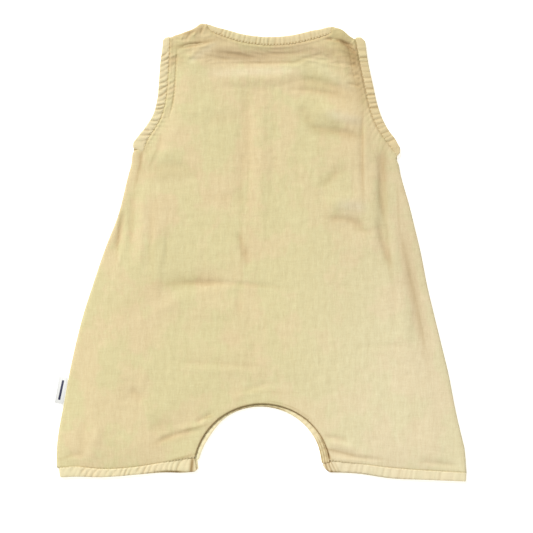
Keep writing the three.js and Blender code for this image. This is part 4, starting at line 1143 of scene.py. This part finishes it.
# Eases a piece's edges, and keeps it above the surface that it lies on
def ease(obj, table):
    points = np.empty(len(obj.data.vertices) * 3)
    obj.data.vertices.foreach_get("co", points)
    points = points.reshape(-1, 3)
    start = points[:, :2] / mm
    for row in table:
        gone = np.hypot(start[:, 0] - row["x"], start[:, 1] - row["y"]) / row["reach"]
        points[:, :2] += np.exp(-(gone ** 2))[:, None] * np.array([row["right"], row["up"]]) * mm
    points[:, 2] = np.clip(points[:, 2], 0, None)
    obj.data.vertices.foreach_set("co", points.ravel())
    obj.data.update()


# Side label

labelLook = {"edgeRound": 0.12, "barHalfWidth": 1.05, "barHalfLength": 9.2, "turn": -12}


def makeLabel():
    bm = mergedCopy("side_label")
    bmesh.ops.subdivide_edges(bm, edges=bm.edges, cuts=1, use_grid_fill=True)
    obj = objectFrom(bm, "sideLabel")
    rounding = obj.modifiers.new("edge", "BEVEL")
    rounding.width = labelLook["edgeRound"] * mm
    rounding.segments = 2
    rounding.limit_method = "ANGLE"
    return applyModifiers(obj)


# Stitches, as short threads sunk into the cloth

stitchLook = {"length": 1.8, "pitch": 2.9, "radius": 0.28, "sides": 6}


def threadPrototype():
    bm = bmesh.new()
    bmesh.ops.create_uvsphere(bm, u_segments=stitchLook["sides"], v_segments=5, radius=1)
    bmesh.ops.rotate(bm, cent=(0, 0, 0), matrix=Matrix.Rotation(math.pi / 2, 3, "Y"), verts=bm.verts)
    half, radius = stitchLook["length"] * mm / 2, stitchLook["radius"] * mm
    bmesh.ops.scale(bm, vec=(half, radius, radius), verts=bm.verts)
    mesh = bpy.data.meshes.new("thread")
    bm.to_mesh(mesh)
    bm.free()
    return mesh


# Which side of a stretch, seen along it, is outwards of the panel
outwardSide = {"neck": 1, "armLeft": -1, "armRight": 1, "hemLeft": 1, "hemRight": -1}


# A row of stitches beside a stretch, on the faces below it or above it. Offset is outwards of the panel.
def stitchRow(bm, thread, kind, stretch, offset, ground, down=True):
    left = stitchLook["pitch"] * mm / 2
    offset *= outwardSide.get(kind, 0)
    for a, b in zip(stretch, stretch[1:]):
        heading = (b - a).xy.to_3d()
        length = heading.length
        if length == 0:
            continue
        heading.normalize()
        side = Vector((-heading.y, heading.x, 0))
        while left <= length:
            place = a + heading * left + side * offset * mm
            start = Vector((place.x, place.y, 0.02 if down else -0.02))
            hit = ground.ray_cast(start, Vector((0, 0, -1 if down else 1)))
            if hit[0] is not None:
                wander = random.uniform(-0.12, 0.12)
                turn = Matrix.Rotation(math.atan2(heading.y, heading.x) + wander, 4, "Z")
                sink = 0.1 * mm if down else -0.02 * mm
                first = len(bm.verts)
                bm.from_mesh(thread)
                bm.verts.ensure_lookup_table()
                move = Matrix.Translation(hit[0] + Vector((0, 0, sink))) @ turn
                bmesh.ops.transform(bm, matrix=move, verts=bm.verts[first:])
            left += stitchLook["pitch"] * mm
        left -= length


def groundOf(*objects):
    bm = bmesh.new()
    for obj in objects:
        bm.from_mesh(obj.data)
    tree = BVHTree.FromBMesh(bm)
    bm.free()
    return tree


# Materials

def newTree(name):
    material = bpy.data.materials.new(name)
    material.use_nodes = True
    return material, material.node_tree


def addNode(tree, kind, **settings):
    made = tree.nodes.new(kind)
    for key, value in settings.items():
        if key in made.inputs and not hasattr(made, key):
            made.inputs[key].default_value = value
        else:
            setattr(made, key, value)
    return made


def mathNode(tree, operation, first, second=None, third=None):
    made = tree.nodes.new("ShaderNodeMath")
    made.operation = operation
    for socket, value in zip(made.inputs, (first, second, third)):
        if value is None:
            continue
        if isinstance(value, (int, float)):
            socket.default_value = value
        else:
            tree.links.new(value, socket)
    return made.outputs[0]


def linear(red, green, blue):
    def channel(c):
        c = c / 255
        return c / 12.92 if c <= 0.04045 else ((c + 0.055) / 1.055) ** 2.4
    return (channel(red), channel(green), channel(blue), 1)


# Fine relief on a shader. Distance is in millimetres.
def addRelief(tree, shader, height, strength, distance):
    relief = tree.nodes.new("ShaderNodeBump")
    relief.inputs["Strength"].default_value = strength
    relief.inputs["Distance"].default_value = distance * mm
    tree.links.new(height, relief.inputs["Height"])
    tree.links.new(relief.outputs["Normal"], shader.inputs["Normal"])


def attributeOf(tree, name):
    made = tree.nodes.new("ShaderNodeAttribute")
    made.attribute_name = name
    return made.outputs["Fac"]


def blendOf(tree, first, second):
    blend = tree.nodes.new("ShaderNodeMix")
    blend.data_type = "RGBA"
    blend.inputs["A"].default_value = first
    blend.inputs["B"].default_value = second
    return blend


gauzeLook = {
    "threadPitch": 0.62,
    "slubWidth": 1.1,
    "slubLength": 9,
    "patchSize": 34,
}


# Slubs, patches and height of double gauze, from Object coordinates
def gauzeGroup():
    group = bpy.data.node_groups.new("doubleGauze", "ShaderNodeTree")
    for name in ("Slubs", "Patches", "Height"):
        group.interface.new_socket(name, in_out="OUTPUT", socket_type="NodeSocketFloat")
    out = group.nodes.new("NodeGroupOutput")
    straight = group.nodes.new("ShaderNodeTexCoord").outputs["Object"]
    drift = group.nodes.new("ShaderNodeTexNoise")
    drift.inputs["Scale"].default_value = 1 / (9 * mm)
    drift.inputs["Detail"].default_value = 2
    group.links.new(straight, drift.inputs["Vector"])
    centred = group.nodes.new("ShaderNodeVectorMath")
    centred.operation = "SUBTRACT"
    centred.inputs[1].default_value = (0.5, 0.5, 0.5)
    group.links.new(drift.outputs["Color"], centred.inputs[0])
    bent = group.nodes.new("ShaderNodeVectorMath")
    bent.operation = "MULTIPLY_ADD"
    bent.inputs[1].default_value = (3.2 * mm, 3.2 * mm, 0)
    group.links.new(centred.outputs["Vector"], bent.inputs[0])
    group.links.new(straight, bent.inputs[2])
    place = bent.outputs["Vector"]

    def stretched(alongX, alongY, detail, rough=0.55):
        mapping = addNode(group, "ShaderNodeMapping")
        mapping.inputs["Scale"].default_value = (1 / (alongX * mm), 1 / (alongY * mm), 1 / (30 * mm))
        group.links.new(place, mapping.inputs["Vector"])
        texture = group.nodes.new("ShaderNodeTexNoise")
        texture.inputs["Scale"].default_value = 1
        texture.inputs["Detail"].default_value = detail
        texture.inputs["Roughness"].default_value = rough
        group.links.new(mapping.outputs["Vector"], texture.inputs["Vector"])
        return texture.outputs["Fac"]

    def threads(direction, wobble):
        wave = group.nodes.new("ShaderNodeTexWave")
        wave.bands_direction = direction
        wave.inputs["Scale"].default_value = math.tau / (20 * gauzeLook["threadPitch"] * mm)
        wave.inputs["Distortion"].default_value = wobble
        wave.inputs["Detail"].default_value = 1
        wave.inputs["Detail Scale"].default_value = 0.15
        group.links.new(place, wave.inputs["Vector"])
        return wave.outputs["Fac"]

    warp, weft = threads("X", 1.5), threads("Y", 1.5)
    weave = mathNode(group, "MULTIPLY", mathNode(group, "ADD", warp, weft), 0.5)
    down = stretched(gauzeLook["slubWidth"], gauzeLook["slubLength"], 3)
    over = stretched(gauzeLook["slubLength"], gauzeLook["slubWidth"], 3)
    broad = stretched(3.2, 18, 3)
    fuzz = stretched(1.1, 1.3, 2)
    slubs = mathNode(group, "MULTIPLY_ADD", down, 0.36, mathNode(group, "MULTIPLY", over, 0.24))
    slubs = mathNode(group, "MULTIPLY_ADD", broad, 0.22, slubs)
    slubs = mathNode(group, "MULTIPLY_ADD", fuzz, 0.18, slubs)
    patches = stretched(gauzeLook["patchSize"], gauzeLook["patchSize"] * 1.2, 4, 0.6)
    height = mathNode(group, "MULTIPLY_ADD", slubs, 1.0, mathNode(group, "MULTIPLY", weave, 0.25))
    height = mathNode(group, "MULTIPLY_ADD", fuzz, 0.35, height)
    group.links.new(slubs, out.inputs["Slubs"])
    group.links.new(patches, out.inputs["Patches"])
    group.links.new(height, out.inputs["Height"])
    return group


gauze = gauzeGroup()


def gauzeMaterial(name, peach, green, contrast, bump):
    material, tree = newTree(name)
    shader = tree.nodes["Principled BSDF"]
    shader.inputs["Roughness"].default_value = 0.92
    shader.inputs["Specular IOR Level"].default_value = 0.18
    shader.inputs["Sheen Weight"].default_value = 0.12
    shader.inputs["Sheen Roughness"].default_value = 0.5
    cloth = tree.nodes.new("ShaderNodeGroup")
    cloth.node_tree = gauze
    spread = tree.nodes.new("ShaderNodeMapRange")
    spread.interpolation_type = "SMOOTHSTEP"
    spread.inputs["From Min"].default_value = 0.42
    spread.inputs["From Max"].default_value = 0.58
    tree.links.new(cloth.outputs["Patches"], spread.inputs["Value"])
    blend = blendOf(tree, peach, green)
    greener = mathNode(tree, "SUBTRACT", spread.outputs["Result"], attributeOf(tree, "blush"))
    tree.links.new(greener, blend.inputs["Factor"])
    # Paler and greyer by the pale attribute, which on the back greys some of its painted shade and
    # highlights
    paler = tree.nodes.new("ShaderNodeMix")
    paler.data_type = "RGBA"
    paler.inputs["B"].default_value = linear(237, 228, 203)
    tree.links.new(attributeOf(tree, "pale"), paler.inputs["Factor"])
    tree.links.new(blend.outputs["Result"], paler.inputs["A"])
    slubTone = mathNode(tree, "MULTIPLY_ADD", cloth.outputs["Slubs"], contrast, 1 - contrast / 2)
    # Darker cloth, from its slubs and from the painted shade in the tone attribute, is painted warmer: its
    # green and blue fall faster than its red
    whole = mathNode(tree, "MULTIPLY", slubTone, attributeOf(tree, "tone"))
    warm = tree.nodes.new("ShaderNodeCombineXYZ")
    tree.links.new(whole, warm.inputs["X"])
    tree.links.new(mathNode(tree, "POWER", whole, 1.3), warm.inputs["Y"])
    tree.links.new(mathNode(tree, "POWER", whole, 1.7), warm.inputs["Z"])
    shade = tree.nodes.new("ShaderNodeVectorMath")
    shade.operation = "MULTIPLY"
    tree.links.new(paler.outputs["Result"], shade.inputs[0])
    tree.links.new(warm.outputs["Vector"], shade.inputs[1])
    tree.links.new(shade.outputs["Vector"], shader.inputs["Base Color"])
    addRelief(tree, shader, cloth.outputs["Height"], bump, 0.35)
    return material


def plainMaterial(name, colour, roughness, bumpScale, bump):
    material, tree = newTree(name)
    shader = tree.nodes["Principled BSDF"]
    shader.inputs["Roughness"].default_value = roughness
    place = tree.nodes.new("ShaderNodeTexCoord").outputs["Object"]
    grain = tree.nodes.new("ShaderNodeTexNoise")
    grain.inputs["Scale"].default_value = 1 / (bumpScale * mm)
    tree.links.new(place, grain.inputs["Vector"])
    blend = blendOf(tree, colour, tuple(c * 0.93 for c in colour[:3]) + (1,))
    tree.links.new(grain.outputs["Fac"], blend.inputs["Factor"])
    tree.links.new(blend.outputs["Result"], shader.inputs["Base Color"])
    addRelief(tree, shader, grain.outputs["Fac"], bump, 0.1)
    return material


# White satin with a plain dark bar down its middle
def labelMaterial(centre, turn):
    material, tree = newTree("labelSatin")
    shader = tree.nodes["Principled BSDF"]
    shader.inputs["Roughness"].default_value = 0.45
    shader.inputs["Sheen Weight"].default_value = 0.1
    place = tree.nodes.new("ShaderNodeTexCoord").outputs["Object"]
    move = tree.nodes.new("ShaderNodeMapping")
    move.vector_type = "TEXTURE"
    move.inputs["Location"].default_value = (centre.x, centre.y, 0)
    move.inputs["Rotation"].default_value = (0, 0, turn)
    tree.links.new(place, move.inputs["Vector"])
    split = tree.nodes.new("ShaderNodeSeparateXYZ")
    tree.links.new(move.outputs["Vector"], split.inputs["Vector"])
    across, along = (mathNode(tree, "ABSOLUTE", split.outputs[axis]) for axis in ("X", "Y"))
    acrossBar = mathNode(tree, "LESS_THAN", across, labelLook["barHalfWidth"] * mm)
    alongBar = mathNode(tree, "LESS_THAN", along, labelLook["barHalfLength"] * mm)
    bar = mathNode(tree, "MULTIPLY", acrossBar, alongBar)
    blend = blendOf(tree, linear(234, 236, 236), linear(44, 48, 78))
    tree.links.new(bar, blend.inputs["Factor"])
    tree.links.new(blend.outputs["Result"], shader.inputs["Base Color"])
    ribs = tree.nodes.new("ShaderNodeTexWave")
    ribs.bands_direction = "Y"
    ribs.inputs["Scale"].default_value = math.tau / (20 * 0.4 * mm)
    tree.links.new(place, ribs.inputs["Vector"])
    addRelief(tree, shader, ribs.outputs["Fac"], 0.3, 0.05)
    return material


# The romper

panelGauze = gauzeMaterial("panelGauze", linear(229, 211, 168), linear(223.5, 213, 165.5), 0.52, 0.9)
tapeGauze = gauzeMaterial("tapeGauze", linear(231, 214, 171), linear(228, 215, 171), 0.3, 0.7)
threadCotton = plainMaterial("threadCotton", linear(236, 222, 182), 0.7, 0.4, 0.4)
buttonResin = plainMaterial("buttonResin", linear(236, 226, 196), 0.35, 4, 0.1)

back, backStretches = makeBack()
putOn(back, panelGauze, "gauze", "back_panel")
front, frontStretches = makeFront()
putOn(front, panelGauze, "gauze", "front_panel")

tapes = {}
tapeNames = {
    "neck": "neckBinding",
    "armLeft": "armholeBindingLeft",
    "armRight": "armholeBindingRight",
    "hemLeft": "hemBandLeft",
    "hemRight": "hemBandRight",
}
for kind, pieceName in tapeNames.items():
    tape = makeTape(kind, backStretches[kind], frontStretches[kind], pieceName)
    tapes[kind] = putOn(tape, tapeGauze, "tape", tapeNodes[kind])

crotchBand = makeStrip("crotch_band_front", "crotchBandFront", stripLook["front"], backStretches["arch"])
putOn(crotchBand, tapeGauze, "tape", "crotch_band_front")
crotchFacing = makeStrip("crotch_facing_back", "crotchFacingBack", stripLook["back"], backStretches["arch"])
putOn(crotchFacing, tapeGauze, "tape", "crotch_facing_back")

placket, buttonCentres = makePlacket()
putOn(placket, tapeGauze, "gauze", "front_placket")
for number, centre in enumerate(buttonCentres, 1):
    button = makeButton(number, centre)
    putOn(button, buttonResin, "button", f"button_{number}")

label = makeLabel()
labelLow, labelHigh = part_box("side_label")
labelSatin = labelMaterial((labelLow + labelHigh) / 2, math.radians(labelLook["turn"]))
putOn(label, labelSatin, "label", "side_label")

thread = threadPrototype()
backThreads = bmesh.new()
topGround = groundOf(back, *tapes.values())
stitchOffset = {"neck": 1.0, "armLeft": 0.9, "armRight": 0.9, "hemLeft": 0.5, "hemRight": 0.5}
for kind, offset in stitchOffset.items():
    stitchRow(backThreads, thread, kind, backStretches[kind], offset, topGround)
backStitches = objectFrom(backThreads, "backStitches")
putOn(backStitches, threadCotton, "tape")
frontThreads = bmesh.new()
underGround = groundOf(front, placket, *tapes.values())
for kind, offset in stitchOffset.items():
    stitchRow(frontThreads, thread, kind, frontStretches[kind], offset, underGround, down=False)
placketLow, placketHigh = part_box("front_placket")
inset = placketLook["stitchInset"] * mm
left, right = placketLow.x + inset, placketHigh.x - inset
bottom, top = placketLow.y + inset, placketHigh.y - inset
leftTop = top + 0.7 * placketLook["neckRise"] * mm
corners = [Vector(p) for p in ((left, leftTop, 0), (left, bottom, 0), (right, bottom, 0), (right, top, 0))]
stitchRow(frontThreads, thread, "placket", corners, 0, underGround, down=False)
frontStitches = objectFrom(frontThreads, "frontStitches")
putOn(frontStitches, threadCotton, "tape")
ease(front, frontEasings)
ease(back, backEasings)
for obj in (back, front, *tapes.values(), crotchBand, crotchFacing, backStitches, frontStitches):
    ease(obj, easings)
print("stitches", len(backStitches.data.polygons) + len(frontStitches.data.polygons), "faces")


# Floor, light and camera

studio = {
    "floorSize": 6,
    "floorGlow": 0.5,
    "ambient": 0.46,
    "ambientColour": (1, 0.96, 0.88, 1),
    "key": 2.6,
    "keyPlace": (-1.1, 1.6, 1.5),
    "keySpread": 25,
    "fill": 10,
    "fillPlace": (1.4, -1.6, 2.2),
    "fillSize": 2.4,
    "distance": 3.0,
    "field": 490.4,
    "frameCentre": (5.5, -12.9),
}


def makeFloor():
    bm = bmesh.new()
    bmesh.ops.create_grid(bm, x_segments=1, y_segments=1, size=studio["floorSize"] / 2)
    bmesh.ops.translate(bm, vec=(0, 0, -0.3 * mm), verts=bm.verts)
    floor = objectFrom(bm, "floor", smooth=False)
    material = plainMaterial("paleFloor", linear(250, 250, 250), 0.9, 40, 0.0)
    shader = material.node_tree.nodes["Principled BSDF"]
    shader.inputs["Emission Color"].default_value = (1, 1, 1, 1)
    shader.inputs["Emission Strength"].default_value = studio["floorGlow"]
    floor.data.materials.append(material)


def putLight(name, data, place):
    light = bpy.data.objects.new(name, data)
    light.location = place
    light.rotation_mode = "QUATERNION"
    light.rotation_quaternion = (-Vector(place)).to_track_quat("-Z", "Y")
    bpy.context.scene.collection.objects.link(light)


def makeFill():
    data = bpy.data.lights.new("fillLight", "AREA")
    data.shape = "SQUARE"
    data.size = studio["fillSize"]
    data.energy = studio["fill"]
    putLight("fillLight", data, studio["fillPlace"])


def makeKey():
    data = bpy.data.lights.new("keyLight", "SUN")
    data.energy = studio["key"]
    data.angle = math.radians(studio["keySpread"])
    putLight("keyLight", data, studio["keyPlace"])


def makeCamera():
    data = bpy.data.cameras.new("camera")
    data.sensor_width = 36
    data.lens = 36 * studio["distance"] / (studio["field"] * mm)
    data.clip_end = 20
    camera = bpy.data.objects.new("camera", data)
    frameCentre = Vector(studio["frameCentre"]) * mm
    camera.location = (frameCentre.x, frameCentre.y, studio["distance"])
    bpy.context.scene.collection.objects.link(camera)
    bpy.context.scene.camera = camera


makeFloor()
makeKey()
makeFill()
makeCamera()
world = bpy.data.worlds.new("studioWorld")
bpy.context.scene.world = world
world.use_nodes = True
world.node_tree.nodes["Background"].inputs["Color"].default_value = studio["ambientColour"]
world.node_tree.nodes["Background"].inputs["Strength"].default_value = studio["ambient"]
bpy.context.scene.view_settings.view_transform = "Standard"
